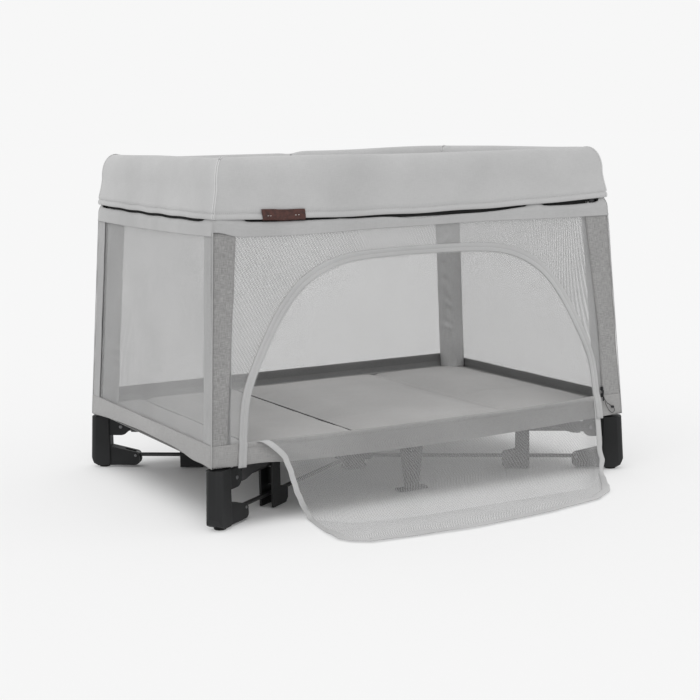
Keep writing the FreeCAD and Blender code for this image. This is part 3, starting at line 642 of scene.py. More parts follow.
def cuff_half(side, end):
    """One half of a side's cuff, from the middle of the rail to the mitre at a corner, as a closed padded shell."""
    sign, own = SIDES[side][1], axis_of(side)
    hand = half_names(side, end)[1]
    outer, crossing = cuff_profile("xy"[own]), cuff_profile("yx"[own])
    columns = (44, 30)[own]
    seed = list(SIDES).index(side) + 1
    rings = []
    for share in shares(columns):
        fade = smooth(1 - share, 0.0, 0.14)
        skin, lining = [], []
        for k, (offset, height, sags) in enumerate(outer):
            run = end * (RAIL_LINE[own] + crossing[k][0]) * share
            ahead, behind = outer[min(k + 1, len(outer) - 1)], outer[max(k - 1, 0)]
            tangent = Vector((ahead[0] - behind[0], ahead[1] - behind[1])).normalized() * PADDING
            place = (run, sign * offset, height)
            puff = 0.0016 * swell(place, 0.11, seed) + 0.0010 * swell(place, 0.035, seed + 9)
            crease = 0.0014 * max(0.0, swell((run * 0.4 + height * 1.2, height * 0.3, 0), 0.03, seed + 20))
            lively = fade * smooth(height, HEM_BAND, HEM_BAND + 0.02)
            lift = hem_shift(side, end * share) * sags
            top_wave = 0.0022 * swell((run, sign, 0), 0.25, seed + 5) * (1 - sags) * fade
            sunk = crown_drop(side, run) * smooth(height, 0.050, CUFF_TALL)
            z = CUFF_BOTTOM + height + lift + top_wave - sunk
            line = RAIL_LINE[1 - own] + offset
            skin.append(on_side(side, run, line + math.copysign(1, offset) * (puff - crease) * lively, z))
            lining.append(on_side(side, run, line - tangent.y, max(z + tangent.x, CUFF_BOTTOM + 0.0025 + lift)))
        rings.append(skin + lining[::-1])
    vertices, faces, uvs = grid_lists(rings, closed=True)
    last, wide = len(outer) - 1, 2 * len(outer)
    # The faces inside the shell take the near-black lining, as painted shade inside the cuff.
    inside = [int(last <= face[0] % wide < wide - 1) for face in faces] + [0] * (2 * last)
    for base, step in ((0, 1), (columns * wide, -1)):
        faces += [(base + k, base + k + 1, base + wide - 2 - k, base + wide - 1 - k)[::step] for k in range(last)]
    made = new_piece(f"cuff_{side}_{hand}", vertices, faces, [CUFF_CLOTH, PAINTED_SHADE_LINING], uvs, inside)
    turned_out(made)
    crisp_ends(made, 2 * last)
    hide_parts(f"{side}_cuff_{hand}")
    with_rail(made, side, end)


def crisp_ends(piece, end_faces):
    """Keeps the shading of a piece's last faces, its ends, apart from that of the rest."""
    def sharpen(shape):
        shape.faces.ensure_lookup_table()
        for face in shape.faces[-end_faces:]:
            for part in (face, *face.edges):
                part.smooth = False

    reshaped(piece, sharpen)


def hem_stitches(side, end):
    """The row of stitches just above the hem band, on the outer face."""
    axis, hand = axis_of(side), half_names(side, end)[1]
    line = RAIL_LINE[1 - axis] + CUFF_HALF + HEM_FLARE["xy"[axis]] - 0.0012
    path = [on_side(side, end * mix(0.004, RAIL_LINE[axis] + CUFF_HALF, share), line,
                    CUFF_BOTTOM + HEM_BAND + 0.0002 + hem_shift(side, end * share)) for share in shares(44)]
    made = tubes_piece(f"hem_stitches_{side}_{hand}", stitches_along(path, 0.0032, 0.0011), 0.00042, THREAD, sides=5)
    with_rail(made, side, end)


def cuff_corner_piping(corner):
    """Two thin welts beside the seam where two cuffs meet, from the hem up and over the top."""
    x_sign, y_sign = CORNERS[corner]
    outer_points = 30
    paths = []
    for x_in, y_in in ((-0.0003, 0.0022), (0.0022, -0.0003)):
        paths.append([
            Vector((x_sign * (RAIL_LINE[0] + offset - x_in), y_sign * (RAIL_LINE[1] + long_side[0] - y_in),
                    CUFF_BOTTOM + height + HEM_HEIGHT[corner] * sags + 0.0004))
            for (offset, height, sags), long_side in zip(cuff_profile("y")[:outer_points], cuff_profile("x"))])
    made = tubes_piece(f"cuff_piping_{corner}", paths, 0.0012, WELT_CLOTH, sides=7)
    placed(made, f"corner_{corner}")


# ---------------------------------------------------------------- walls

VALANCE_LOW = {"front": 0.580, "back": 0.582, "left": 0.581, "right": 0.582}
VALANCE_PROUD = 0.0032
MESH_TOP = 0.600
SKIRT_TOP = {"front": SILL, "back": 0.184, "left": 0.172, "right": 0.173}
SKIRT_PROUD = 0.0022
# How far each corner's band reaches along the front or back wall, at heights from the foot up.
BAND_REACH = {
    "front_left": ((0.18, 0.034), (0.578, 0.048)), "back_left": ((0.18, 0.046), (0.578, 0.050)),
    "front_right": ((0.209, 0.049), (0.323, 0.048), (0.46, 0.055), (0.576, 0.062)),
    "back_right": ((0.18, 0.040), (0.578, 0.045)),
}
BAND_END_REACH = 0.042
SLEEVE_REACH = {"front_left": 0.038, "front_right": 0.042, "back_left": 0.046, "back_right": 0.045}
# The dark gap under the front hem, at distances along the wall.
FRONT_GAP = (
    (-0.430, 0.0), (-0.400, 0.0026), (-0.280, 0.003), (-0.200, 0.0015), (-0.100, 0.0026), (-0.020, 0.007),
    (0.110, 0.006), (0.200, 0.004), (0.250, 0.0022), (0.290, 0.0), (0.330, 0.004), (0.400, 0.007), (0.455, 0.007),
    (0.470, 0.0),
)
# How far the front skirt's top edge is above the sill's nominal height, at distances along the wall.
SILL_SHIFT = (
    (-0.430, 0.0), (-0.360, -0.002), (-0.220, -0.004), (-0.080, -0.005), (0.214, -0.004), (0.341, -0.001),
    (0.446, 0.003),
)
DOOR_HALF, DOOR_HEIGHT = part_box("door_flap_upper")[1].x + 0.008, 0.366
ARCH_SHAPE = [(1, 0), (0.968, 0.265), (0.873, 0.519), (0.766, 0.73), (0.647, 0.874), (0.48, 0.967), (0.245, 1)]
LEAN = math.atan((FOOT_HALF[1] - TOP_HALF[1]) / (WALL_TOP - WALL_BOTTOM))
# How far the front mesh and the arch's binding run on below the sill.
MESH_DROP, BINDING_DROP = 0.045, 0.048


def wall_cloth(name, side, rows, look, flat, thickness, lining=None):
    """A stretched strip of cloth that belongs to a side wall."""
    made = cloth_piece(name, rows, look, outward(side), thickness, lining)
    with_wall(made, side)


def arch_line(inset, count, drop=0.0):
    """The door's outline on the front wall from its right foot over the top to its left foot, as (run, height).
    drop carries both feet on down, below the sill."""
    wide, tall = DOOR_HALF - inset, DOOR_HEIGHT - inset
    right = [Vector((share * wide, rise * tall, 0)) for share, rise in ARCH_SHAPE]
    if drop:
        right = [Vector((wide * 1.012, -drop, 0))] + right
    whole = right + [Vector((-p.x, p.y, 0)) for p in reversed(right)]
    return [(p.x, SILL + p.y * math.cos(LEAN)) for p in curve_through(whole, count)]


def sill_height(run):
    """The front skirt's top edge: it hangs a little lower on the left, where the door pulls on it."""
    return SILL + along_points(run, SILL_SHIFT)


def skirt_bottom(side, share):
    """The skirt's lower edge at a share of the side's half run."""
    ease = 1 - share * share
    if side == "front":
        return WALL_BOTTOM - 0.0125 * ease + 0.003 * hump(share, -0.78, 0.15)
    if side == "left":
        return WALL_BOTTOM - 0.003 + 0.013 * ease - 0.004 * hump(share, -0.72, 0.2)
    return WALL_BOTTOM - 0.002 + 0.002 * ease


def mesh_panel(side):
    """A side wall's mesh, a plane sheet that bellies in slightly."""
    low, high = SKIRT_TOP[side] - 0.02, MESH_TOP

    def point(up, across):
        z, share = mix(low, high, up), across * 2 - 1
        belly = -0.003 * (1 - share ** 2) * math.sin(math.pi * up)
        ripple = 0.0012 * swell((share, z, 0), 0.22, len(side)) * (1 - share ** 2)
        return on_wall(side, (wall_half(side, z) - 0.003) * share, z, belly + ripple - 0.0008)

    made = cloth_piece(f"mesh_{side}", rows_of(24, 48, point), WALL_NET, outward(side))
    wide, tall = 2 * wall_half(side), high - low
    return made


def front_mesh():
    """The front wall's mesh round the door: strips from the arch out to the wall's edges."""
    rows = []
    for t in shares(12):
        row = []
        for run, z in arch_line(0.0, 160, MESH_DROP):
            rise = max(0.0, z - SILL)
            # 1 beside the door and 0 above it.
            beside = abs(math.cos(math.atan2(rise / DOOR_HEIGHT, run / DOOR_HALF)))
            reach = wall_half("front", z) - 0.003
            above = max(-reach, min(reach, run * 1.2))
            out_run = mix(above, math.copysign(reach, run), smooth(beside, 0.55, 0.93))
            out_z = mix(MESH_TOP, min(MESH_TOP, z + 0.35 * rise), smooth(beside, 0.80, 0.985))
            here_run, here_z = mix(run, out_run, t), mix(z, out_z, t)
            ripple = 0.0014 * swell((here_run, here_z, 0), 0.2, 3) * math.sin(math.pi * t)
            row.append(on_wall("front", here_run, here_z, ripple - 0.0008))
        rows.append(row)
    made = cloth_piece("mesh_front", rows, WALL_NET, FRONTWARDS)
    for loop in made.data.loops:
        place = made.data.vertices[loop.vertex_index].co
        made.data.uv_layers[0].data[loop.index].uv = (place.x, place.z)
    return made


def gap_under_cuff(side, share):
    """How far the valance's top edge hangs below the cuff's hem."""
    if side == "front":
        return along_points(share * wall_half("front", VALANCE_LOW["front"]), FRONT_GAP)
    if side == "left":
        return 0.0036 * smooth(share, -0.92, -0.75) * (1 - smooth(share, 0.93, 0.99))
    return 0.0


def valance(side):
    """The solid cloth strip between the mesh and the cuff. Its top tucks up inside the cuff."""
    columns = []
    for across in shares(96):
        share = across * 2 - 1
        ease = 1 - share ** 2
        dip = -0.003 * ease
        if side == "front":
            dip = -0.0045 * hump(share, -0.62, 0.5) + 0.002 * hump(share, 0.3, 0.4) + 0.010 * hump(share, -1, 0.12)
        gap = gap_under_cuff(side, share)
        edge = CUFF_BOTTOM + hem_shift(side, share) - gap - 0.0015
        tuck = 1 - smooth(gap, 0.0, 0.0018)
        line = [(min(VALANCE_LOW[side] + dip + rise, edge - 0.004), VALANCE_PROUD + round_edge)
                for rise, round_edge in ((0.0, 0.0), (0.0012, 0.0005), (0.003, 0.0), (0.010, 0.0), (0.018, 0.0))]
        face_top = line[-1][0]
        line += [(mix(face_top, edge + 0.012 * tuck, t), VALANCE_PROUD - (0.004 + 0.0075 * tuck) * t * t)
                 for t in shares(5)[1:]]
        column = []
        for z, out in line:
            wave = 0.0015 * swell((share, z * 2, 0), 0.13, len(side) + 3) * ease
            limit = wall_half(side, z) + (out if abs(share) == 1 else 0)
            column.append(on_wall(side, limit * share, z, out + wave))
        columns.append(column)
    # The valance's back face takes the near-black lining, as painted shade behind it.
    wall_cloth(f"valance_{side}", side, list(zip(*columns)), VALANCE_CLOTH, (1.94 * wall_half(side), 0.034),
               0.0010, PAINTED_SHADE_LINING)


def shade_facing(side):
    """A near-black strip behind the valance, up to the rail: painted shade that shows in the gap under the cuff."""
    low, high, seam = 0.598, 0.662, 0.604

    def point(up, across):
        half = wall_half(side, seam) - 0.005 - 0.008 * up
        made = on_wall(side, half * (across * 2 - 1), seam, -0.010 - 0.016 * up)
        made.z = mix(low, high, up)
        return made

    wall_cloth(f"facing_{side}", side, rows_of(6, 48, point), PAINTED_SHADE_LINING, (1.9 * wall_half(side), 0.066),
               0.0006)


def skirt(side):
    """The solid cloth strip at the foot of a wall, folded in under the mattress at its lower edge."""
    flat_rows, tucked_rows = 11, 5
    rows = []
    for i in range(flat_rows + tucked_rows + 1):
        row = []
        for across in shares(96):
            share = across * 2 - 1
            run = share * wall_half(side)
            low = skirt_bottom(side, share)
            soft = 0.0022 * swell((run, i * 0.01, 0), 0.07, len(side) + 11) * smooth(1 - abs(share), 0.0, 0.05)
            if i <= flat_rows:
                t = i / flat_rows
                z = mix(sill_height(run) if side == "front" else SKIRT_TOP[side], low + 0.004, t)
                belly = 0.0028 * math.sin(math.pi * t) * (1 - share ** 2)
                point = on_wall(side, (wall_half(side, z) + SKIRT_PROUD) * share, z, SKIRT_PROUD + belly + soft)
            else:
                t = (i - flat_rows) / tucked_rows
                turn = t * math.pi / 2
                tuck = 0.018 * (1 - math.cos(turn))
                half = wall_half(side, low) - (tuck if abs(share) > 0.97 else 0.0)
                point = on_wall(side, half * share, low, SKIRT_PROUD - tuck + soft * (1 - t))
                point.z = low + 0.004 * (1 - math.sin(turn))
            row.append(point)
        rows.append(row)
    wall_cloth(f"skirt_{side}", side, rows, SKIRT_CLOTH, (2 * wall_half(side), 0.072), 0.0012,
               SKIRT_LINING)


def side_walls():
    for side in SIDES:
        panel = front_mesh() if side == "front" else mesh_panel(side)
        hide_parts(f"{side}_wall")
        with_wall(panel, side)
        valance(side)
        shade_facing(side)
        skirt(side)


def on_corner(corner, z, x_out, y_out):
    """The point at a height on the edge of the fabric box, moved out along X and Y."""
    x_half, y_half = half_size(z)
    x_sign, y_sign = CORNERS[corner]
    return Vector((x_sign * (x_half + x_out), y_sign * (y_half + y_out), z))


def corner_band(corner):
    """The heathered strip round a corner of the box, on both walls, with its seam down the corner."""
    x_sign, y_sign = CORNERS[corner]
    low, high = 0.166, 0.589

    def point(up, across):
        z, t = mix(low, high, up), across * 2 - 1
        rough = smooth(high - z, 0.0, 0.03)
        out = 0.0014 + 0.0008 * rough * swell((t * 0.3, z, 0), 0.06, x_sign + 2 * y_sign + 6)
        edge = 0.0008 * swell((0, 0, z), 0.035, x_sign + 4) * abs(t)
        if t <= 0:
            return on_corner(corner, z, out, out + t * BAND_END_REACH + edge)
        return on_corner(corner, z, out - t * along_points(z, BAND_REACH[corner]) + edge, out)

    way = Vector((x_sign, y_sign, 0))
    made = cloth_piece(f"corner_band_{corner}", rows_of(40, 16, point), BAND_CLOTH, way, 0.0010)
    # On the left corners, faces on the left wall take the paler copy: painted light on that side of the band.
    made.data.materials.append(BAND_CLOTH_LIT_SIDE)
    for face in made.data.polygons:
        if x_sign < 0 and abs(face.normal.x) > 0.8:
            face.material_index = 1
    placed(made, f"corner_{corner}")
    seam = []
    for up in shares(48):
        z = mix(WALL_BOTTOM + 0.001, 0.612, up)
        out = 0.0024 if z < 0.60 else -0.001
        seam.append(on_corner(corner, z, out, out))
    welt = tubes_piece(f"corner_seam_{corner}", [seam], 0.0010, VALANCE_CLOTH, sides=7)
    placed(welt, f"corner_{corner}")


def corner_sleeve(corner):
    """The gathered cloth pocket round a corner post, seen from inside the yard."""
    x_sign, y_sign = CORNERS[corner]
    reach = SLEEVE_REACH[corner]
    low, high = 0.150, 0.612
    seed = 3 * x_sign + y_sign + 8

    def point(up, t):
        z, turn = mix(low, high, up), t * math.pi / 2
        bulge = math.sin(2 * turn)
        # Folds run down at a slant from the wall seams, where the pocket is gathered.
        slant = z + 0.05 * (t - 0.5) * math.copysign(1, swell((0, 0, z), 0.16, seed))
        fold = math.sin(slant * 130 + 9.0 * swell((t * 0.05, 0, z), 0.08, seed))
        gather = 0.0030 * fold * abs(swell((t * 0.1, 0, z), 0.05, seed + 1)) * (0.25 + 0.75 * bulge)
        wide = reach + 0.0015 * swell((t, 0, z), 0.05, seed)
        x_in, y_in = (-0.0036 - wide * way(turn) ** 0.75 - 0.003 * bulge + gather for way in (math.cos, math.sin))
        made = on_corner(corner, min(z, 0.60), x_in, y_in)
        made.z = z
        return made

    made = cloth_piece(f"corner_sleeve_{corner}", rows_of(130, 24, point), SLEEVE_CLOTH,
                       Vector((-x_sign, -y_sign, 0)), 0.0010)
    placed(made, f"corner_{corner}")


# ---------------------------------------------------------------- the door

def arch_binding():
    """The tape that binds the door opening, with the zip's coil on its inner edge and a row of stitches."""
    wide = 0.0165
    outer, inner = (arch_line(inset, 220, BINDING_DROP) for inset in (-0.0015, wide))
    rows = []
    for t, out in ((0.0, 0.0008), (0.04, 0.0030), (0.12, 0.0036), (0.45, 0.0034), (0.52, 0.0026), (0.58, 0.0034),
                   (0.90, 0.0036), (0.97, 0.0030), (1.0, 0.0008)):
        rows.append([on_wall("front", mix(a[0], b[0], t), mix(a[1], b[1], t),
                             out + 0.0040 * smooth(SILL - a[1], -0.012, 0.006)) for a, b in zip(outer, inner)])
    wall_cloth("arch_binding", "front", rows, BINDING_CLOTH, (wide + 0.004, 1.47), 0.0010)
    coil_line = arch_line(wide + 0.0012, 900, BINDING_DROP)
    teeth = []
    for a, b in list(zip(coil_line, coil_line[1:]))[2:-1:2]:
        across = Vector((a[1] - b[1], b[0] - a[0])).normalized() * 0.0013
        teeth.append([on_wall("front", a[0] + way * across.x, a[1] + way * across.y, out)
                      for way, out in ((-1, 0.0016), (0, 0.0026), (1, 0.0016))])
    with_wall(tubes_piece("arch_zip_coil", teeth, 0.00055, ZIP_COIL, sides=5), "front")
    path = [on_wall("front", run, z, 0.0030) for run, z in arch_line(wide * 0.5, 240, BINDING_DROP)]
    stitches = tubes_piece("arch_stitches", stitches_along(path, 0.0030, 0.0011), 0.0004, THREAD, sides=5)
    with_wall(stitches, "front")


HINGE_Y = -0.3475
BEND_Y, BEND_Z = FLAP_BEND.y + 0.00074, 0.002
HANG = math.hypot(BEND_Y - HINGE_Y, SILL - BEND_Z)
TIP_REACH = DOOR_HEIGHT - 0.009
TIP_Y = -0.6040
FLAT_OUTLINE = [(run, (z - SILL) / math.cos(LEAN)) for run, z in arch_line(0.009, 400)]
# The hanging door's edges: how far across they lie, from the sill (0) to the bend (1) and on to the tip (2).
LEFT_EDGE = (
    (0, -0.412), (0.17, -0.364), (0.28, -0.352), (0.41, -0.341), (0.50, -0.330), (0.62, -0.312), (0.95, -0.326),
    (1, -0.328), (1.48, -0.331), (1.67, -0.320), (1.88, -0.287), (1.95, -0.205), (2, -0.13),
)
RIGHT_EDGE = (
    (0, 0.445), (0.40, 0.452), (0.55, 0.449), (0.67, 0.428), (1, 0.377), (1.33, 0.347), (1.66, 0.288), (1.90, 0.150),
    (1.96, 0.08), (2, 0.0),
)
# Where the ridge crosses the slope between sill and bend, and where the cloth reaches the floor.
RIDGE = (
    (-0.42, 0.0), (-0.35, 0.12), (-0.29, 0.28), (-0.24, 0.44), (-0.185, 0.56), (-0.135, 0.70), (-0.09, 0.80),
    (0.30, 0.80),
)
FLOOR_CONTACT = (
    (-0.31, -0.362), (-0.275, -0.408), (-0.24, -0.445), (-0.135, -0.465), (-0.05, BEND_Y), (0.30, BEND_Y),
    (0.44, -0.383),
)


def door_half(reach):
    """Half the flat door's width at a distance from its hinge."""
    reach = min(reach, TIP_REACH - 0.0002)
    for (x1, r1), (x2, r2) in zip(FLAT_OUTLINE, FLAT_OUTLINE[1:]):
        if x1 >= 0 and r1 <= reach <= r2 and r2 > r1:
            return mix(x1, x2, (reach - r1) / (r2 - r1))
    return FLAT_OUTLINE[0][0]


def slope_point(x, t):
    """The section of the hanging door at x, as (y, z), a share t of the way from the sill to the bend."""
    sill, bend = Vector((HINGE_Y, sill_height(x) - 0.0015)), Vector((BEND_Y, BEND_Z))
    fall = (bend - sill).normalized()
    rise = 0.012 * (1 - smooth(x, -0.12, 0.03))
    knee = sill + (bend - sill) * along_points(x, RIDGE) + Vector((fall.y, -fall.x)) * rise
    knee = knee.lerp(Vector((-0.352, 0.050)), smooth(x, 0.34, 0.445))
    line = [sill, knee, Vector((along_points(x, FLOOR_CONTACT), BEND_Z)), bend]
    lengths = [(b - a).length for a, b in zip(line, line[1:])]

    def at(share):
        left = share * sum(lengths)
        for a, b, length in zip(line, line[1:], lengths):
            if left <= length and length > 0:
                return a.lerp(b, left / length)
            left -= length
        return line[-1].copy()

    soft = min(0.03, t, 1 - t)
    return sum((at(t + soft * k / 3) for k in range(-3, 4)), Vector((0, 0))) / 7


def flap_point(run, reach):
    """Where a point of the door lies when it hangs open. run is its place across and reach its distance from the
    hinge, both on the flat door. It drops to the floor at the bend and lies flat beyond it."""
    share = min(1.0, max(0.0, (run / door_half(reach) + 1) / 2))
    t = reach / HANG if reach <= HANG else 1 + min(1.0, (reach - HANG) / (TIP_REACH - HANG))
    x = mix(along_points(t, LEFT_EDGE), along_points(t, RIGHT_EDGE), share)
    if t <= 1:
        y, z = slope_point(x, t)
        z += 0.0022 * swell((x, reach, 0), 0.10, 4) * math.sin(t * math.pi) * smooth(z, 0.01, 0.05)
        return Vector((x, y, max(z, BEND_Z)))
    lift = 0.0016 * (1 + swell((x, reach, 0), 0.10, 6)) * smooth(t, 1.0, 1.25)
    bow = 0.004 * math.sin(share * math.pi) * (t - 1)
    return Vector((x, mix(BEND_Y, TIP_Y + 0.003, t - 1) - bow, BEND_Z + lift))


def door_rows(start, stop, count, across, crowd=1.0):
    """Rows of the hanging door between two distances from its hinge. crowd packs them towards the last one."""
    rows = []
    for i in range(count + 1):
        reach = mix(start, stop, 1 - (1 - i / count) ** crowd)
        half = door_half(reach)
        rows.append([flap_point(half * (share * 2 - 1), reach) for share in shares(across)])
    return rows


def door():
    """The arched mesh door in two pieces that meet at the floor, each with its share of the binding."""
    upper = cloth_piece("door_net_upper", door_rows(0.0, HANG, 48, 96), DOOR_NET, Vector((0, -0.6, 0.8)))
    lower = cloth_piece("door_net_lower", door_rows(HANG, TIP_REACH - 0.0015, 34, 96, 1.6), DOOR_NET, UP)
    for piece, half in ((upper, "upper"), (lower, "lower")):
        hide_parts(f"door_flap_{half}")
        with_front(piece, f"door_{half}")
    below = [k for k, place in enumerate(FLAT_OUTLINE) if place[1] >= HANG]
    first, last = below[0], below[-1]
    door_binding("door_binding_lower", FLAT_OUTLINE[first - 1:last + 2], 0.018, "door_lower", UP)
    slope = Vector((0, -0.5, 0.85))
    door_binding("door_binding_right", FLAT_OUTLINE[:first + 1], 0.0145, "door_upper", slope)
    door_binding("door_binding_left", FLAT_OUTLINE[last:], 0.0115, "door_upper", slope)


def door_binding(name, stretch, wide, body, rise):
    """The tape along a stretch of the door's flat outline, laid over the net on the side that rise points to."""
    edge = [flap_point(run, max(0.0, reach)) for run, reach in stretch]
    ways = []
    for k, (run, reach) in enumerate(stretch):
        behind, ahead = max(k - 2, 0), min(k + 2, len(stretch) - 1)
        flat_way = (Vector(stretch[ahead]) - Vector(stretch[behind])).normalized() * 0.012
        along = (edge[ahead] - edge[behind]).normalized()
        way = flap_point(run - flat_way.y, max(0.0, reach + flat_way.x)) - edge[k]
        ways.append((way - along * way.dot(along)).normalized() * wide)
    rows = [[start + way * t + rise * out for start, way in zip(edge, ways)]
            for t, out in ((0, 0.0006), (0, 0.0016), (0.15, 0.0021), (0.5, 0.0022), (0.85, 0.0019), (1, 0.0010))]
    tape = cloth_piece(name, rows, FLAP_BINDING_CLOTH, rise, 0.0010)
    length = sum(math.dist(a, b) for a, b in zip(stretch, stretch[1:]))
    with_front(tape, body)


def hinge_tape():
    """The light tape along the sill that joins the door to the skirt."""
    runs = [mix(-DOOR_HALF + 0.01, DOOR_HALF - 0.012, share) for share in shares(96)]
    profile = ((0.0026, -0.010), (0.0040, -0.0085), (0.0042, -0.001), (0.0036, 0.0012), (0.0010, 0.0016))
    rows = [[on_wall("front", run, sill_height(run) + up, out) for run in runs] for out, up in profile]
    wall_cloth("sill_tape", "front", rows, SKIRT_CLOTH, (1.8 * DOOR_HALF, 0.014), 0.0008)


def zip_parts():
    """Two sliders at the arch's right foot, each with a bail and a pull tab, and the cord loop with its bead."""
    low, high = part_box("zip_pulls")
    octagon = ((-1, -0.6), (-0.6, -1), (0.6, -1), (1, -0.6), (1, 0.6), (0.6, 1), (-0.6, 1), (-1, 0.6))
    vertices, faces = [], []

    def block(centre, size, bevel=0.3):
        """A soft-edged block, narrowed at its ends, from four stacked rings."""
        first = len(vertices)
        x_half, y_half, z_half = (s / 2 for s in size)
        for share, scale in ((-1, 1 - bevel), (-0.6, 1), (0.6, 1), (1, 1 - bevel)):
            vertices.extend(Vector(centre) + Vector((a * x_half * scale, b * y_half * scale, share * z_half))
                            for a, b in octagon)
        faces.extend(ring_quads(4, 8, first))
        faces.append(tuple(first + k for k in reversed(range(8))))
        faces.append(tuple(first + 24 + k for k in range(8)))

    x, y = (low.x + high.x) / 2, high.y + 0.0012
    for step in (0, 1):
        z = low.z + 0.014 + 0.015 * step
        shift = -0.0015 * step
        block((x + shift, y - 0.0030, z), (0.0070, 0.0042, 0.0090))
        block((x + shift, y - 0.0060, z + 0.001), (0.0024, 0.0020, 0.0050))
        block((x + shift + 0.0008, y - 0.0070, z - 0.008), (0.0044, 0.0012, 0.0100), 0.2)
    sliders = new_piece("zip_sliders", vertices, faces, [SLIDER_METAL])
    softened(sliders, 0.0004)
    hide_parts("zip_pulls")
    knot = Vector((x + 0.007, y - 0.0085, low.z - 0.004))
    loop = [knot + Vector(p) for p in (
        (-0.005, 0.0012, 0.012), (-0.002, 0.0, 0.006), (0.003, 0, 0.000), (0.012, 0, -0.006), (0.021, 0, -0.012),
        (0.024, 0, -0.019), (0.020, 0, -0.024), (0.013, 0, -0.022), (0.006, 0, -0.014), (0.000, 0, -0.004),
        (-0.003, 0, 0.004))]
    cord = tubes_piece("zip_pull_loop", [curve_through(loop, 60)], 0.0008, STRAP_CLOTH, sides=8)
    bead_at = knot + Vector((0.0185, -0.0002, -0.0105))
    rings = []
    for end in shares(8):
        t = end * 2 - 1
        wide = 0.0030 * math.sqrt(1 - (t * 0.93) ** 2)
        rings.append([bead_at + Vector((t * 0.0042, math.cos(turn) * wide, math.sin(turn) * wide))
                      for turn in (math.tau * k / 12 for k in range(12))])
    bead_vertices, bead_faces, _ = grid_lists(rings, closed=True)
    bead_faces += [tuple(range(12)), tuple(8 * 12 + k for k in range(12))]
    bead = new_piece("zip_pull_bead", bead_vertices, bead_faces, [SLIDER_METAL])
    turned_out(bead)
    for piece in (sliders, cord, bead):
        with_front(piece, "zip")


# ---------------------------------------------------------------- mattress and floor cloth

SEAMS = (-0.388, -0.148, 0.240)


def seam_distance(x):
    return min(abs(x - seam) for seam in SEAMS)


def mattress_outline(count):
    """The mattress seen from above: a rounded rectangle, evenly spaced."""
    x, y, r = MATTRESS_HIGH.x - 0.004, MATTRESS_HIGH.y - 0.004, 0.056
    line = []
    for cx, cy, start in ((x - r, y - r, 0), (r - x, y - r, 1), (r - x, r - y, 2), (x - r, r - y, 3)):
        for share in shares(8):
            turn = (start + share) * math.pi / 2
            line.append(Vector((cx + r * math.cos(turn), cy + r * math.sin(turn), 0)))
    return curve_through(line + line[:1], count)[:-1]


def mattress():
    """Four padded panels in one cover: cloth blown up between its pinned seams, then sat flat underneath."""
    x_half, y_half, r = MATTRESS_HIGH.x - 0.003, MATTRESS_HIGH.y - 0.003, 0.058
    low, high = MATTRESS_LOW.z + 0.001, MATTRESS_HIGH.z - 0.006
    step = 0.0088
    columns, lanes = int(2 * x_half / step), int(2 * y_half / step)

    def inside(u, v):
        """Square coordinates from -1 to 1 drawn onto the rounded rectangle."""
        x, y = u * x_half, v * y_half
        over_x, over_y = abs(x) - (x_half - r), abs(y) - (y_half - r)
        if over_x > 0 and over_y > 0:
            share = max(over_x, over_y) / math.hypot(over_x, over_y)
            x = math.copysign(x_half - r + over_x * share, x)
            y = math.copysign(y_half - r + over_y * share, y)
        return x, y

    def at(layer, i, j):
        return (layer * (columns + 1) + i) * (lanes + 1) + j

    vertices, faces, pinned = [], [], []
    for layer in (0, 1):
        for i in range(columns + 1):
            for j in range(lanes + 1):
                x, y = inside(2 * i / columns - 1, 2 * j / lanes - 1)
                on_seam = seam_distance(x) < step * 0.5
                if layer == 0 or i in (0, columns) or j in (0, lanes) or on_seam:
                    pinned.append(len(vertices))
                z = (high - 0.006 if on_seam else high) if layer else low
                vertices.append(Vector((x, y, z)))
    for i in range(columns):
        for j in range(lanes):
            faces.append((at(1, i, j), at(1, i + 1, j), at(1, i + 1, j + 1), at(1, i, j + 1)))
            faces.append((at(0, i, j), at(0, i, j + 1), at(0, i + 1, j + 1), at(0, i + 1, j)))
    ring = [(i, 0) for i in range(columns)] + [(columns, j) for j in range(lanes)]
    ring += [(i, lanes) for i in range(columns, 0, -1)] + [(0, j) for j in range(lanes, 0, -1)]
    for (i, j), (m, n) in zip(ring, ring[1:] + ring[:1]):
        faces.append((at(0, i, j), at(0, m, n), at(1, m, n), at(1, i, j)))
    made = new_piece("mattress_pad", vertices, faces, [MATTRESS_CLOTH])
    blow_up(made, vertices, pinned)
    wrinkle_mattress(made, low)
    soft = made.modifiers.new("soft", "SUBSURF")
    soft.levels = soft.render_levels = 1
    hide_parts("mattress")
    placed(made, "mattress")


def blow_up(piece, start, pinned):
    """Blows a cover up as cloth between its pinned vertices, by no more than a limit."""
    frames, limit = 20, 0.008
    piece.vertex_groups.new(name="pinned").add(pinned, 1.0, "REPLACE")
    cloth = piece.modifiers.new("inflate", "CLOTH")
    cloth.settings.use_pressure = True
    cloth.settings.uniform_pressure_force = 4.0
    cloth.settings.vertex_group_mass = "pinned"
    cloth.settings.effector_weights.gravity = 0.0
    cloth.settings.quality = 5
    cloth.settings.tension_stiffness = 20
    cloth.settings.bending_stiffness = 1.0
    cloth.collision_settings.use_collision = False
    cloth.point_cache.frame_start, cloth.point_cache.frame_end = 1, frames
    for number in range(1, frames + 1):
        bpy.context.scene.frame_set(number)
    shaped = piece.evaluated_get(bpy.context.evaluated_depsgraph_get()).to_mesh()
    blown = [v.co.copy() for v in shaped.vertices]
    piece.modifiers.clear()
    bpy.context.scene.frame_set(1)
    for vertex, begin, end in zip(piece.data.vertices, start, blown):
        move = end - begin
        if move.length > limit:
            move = move.normalized() * limit
        vertex.co = begin + move


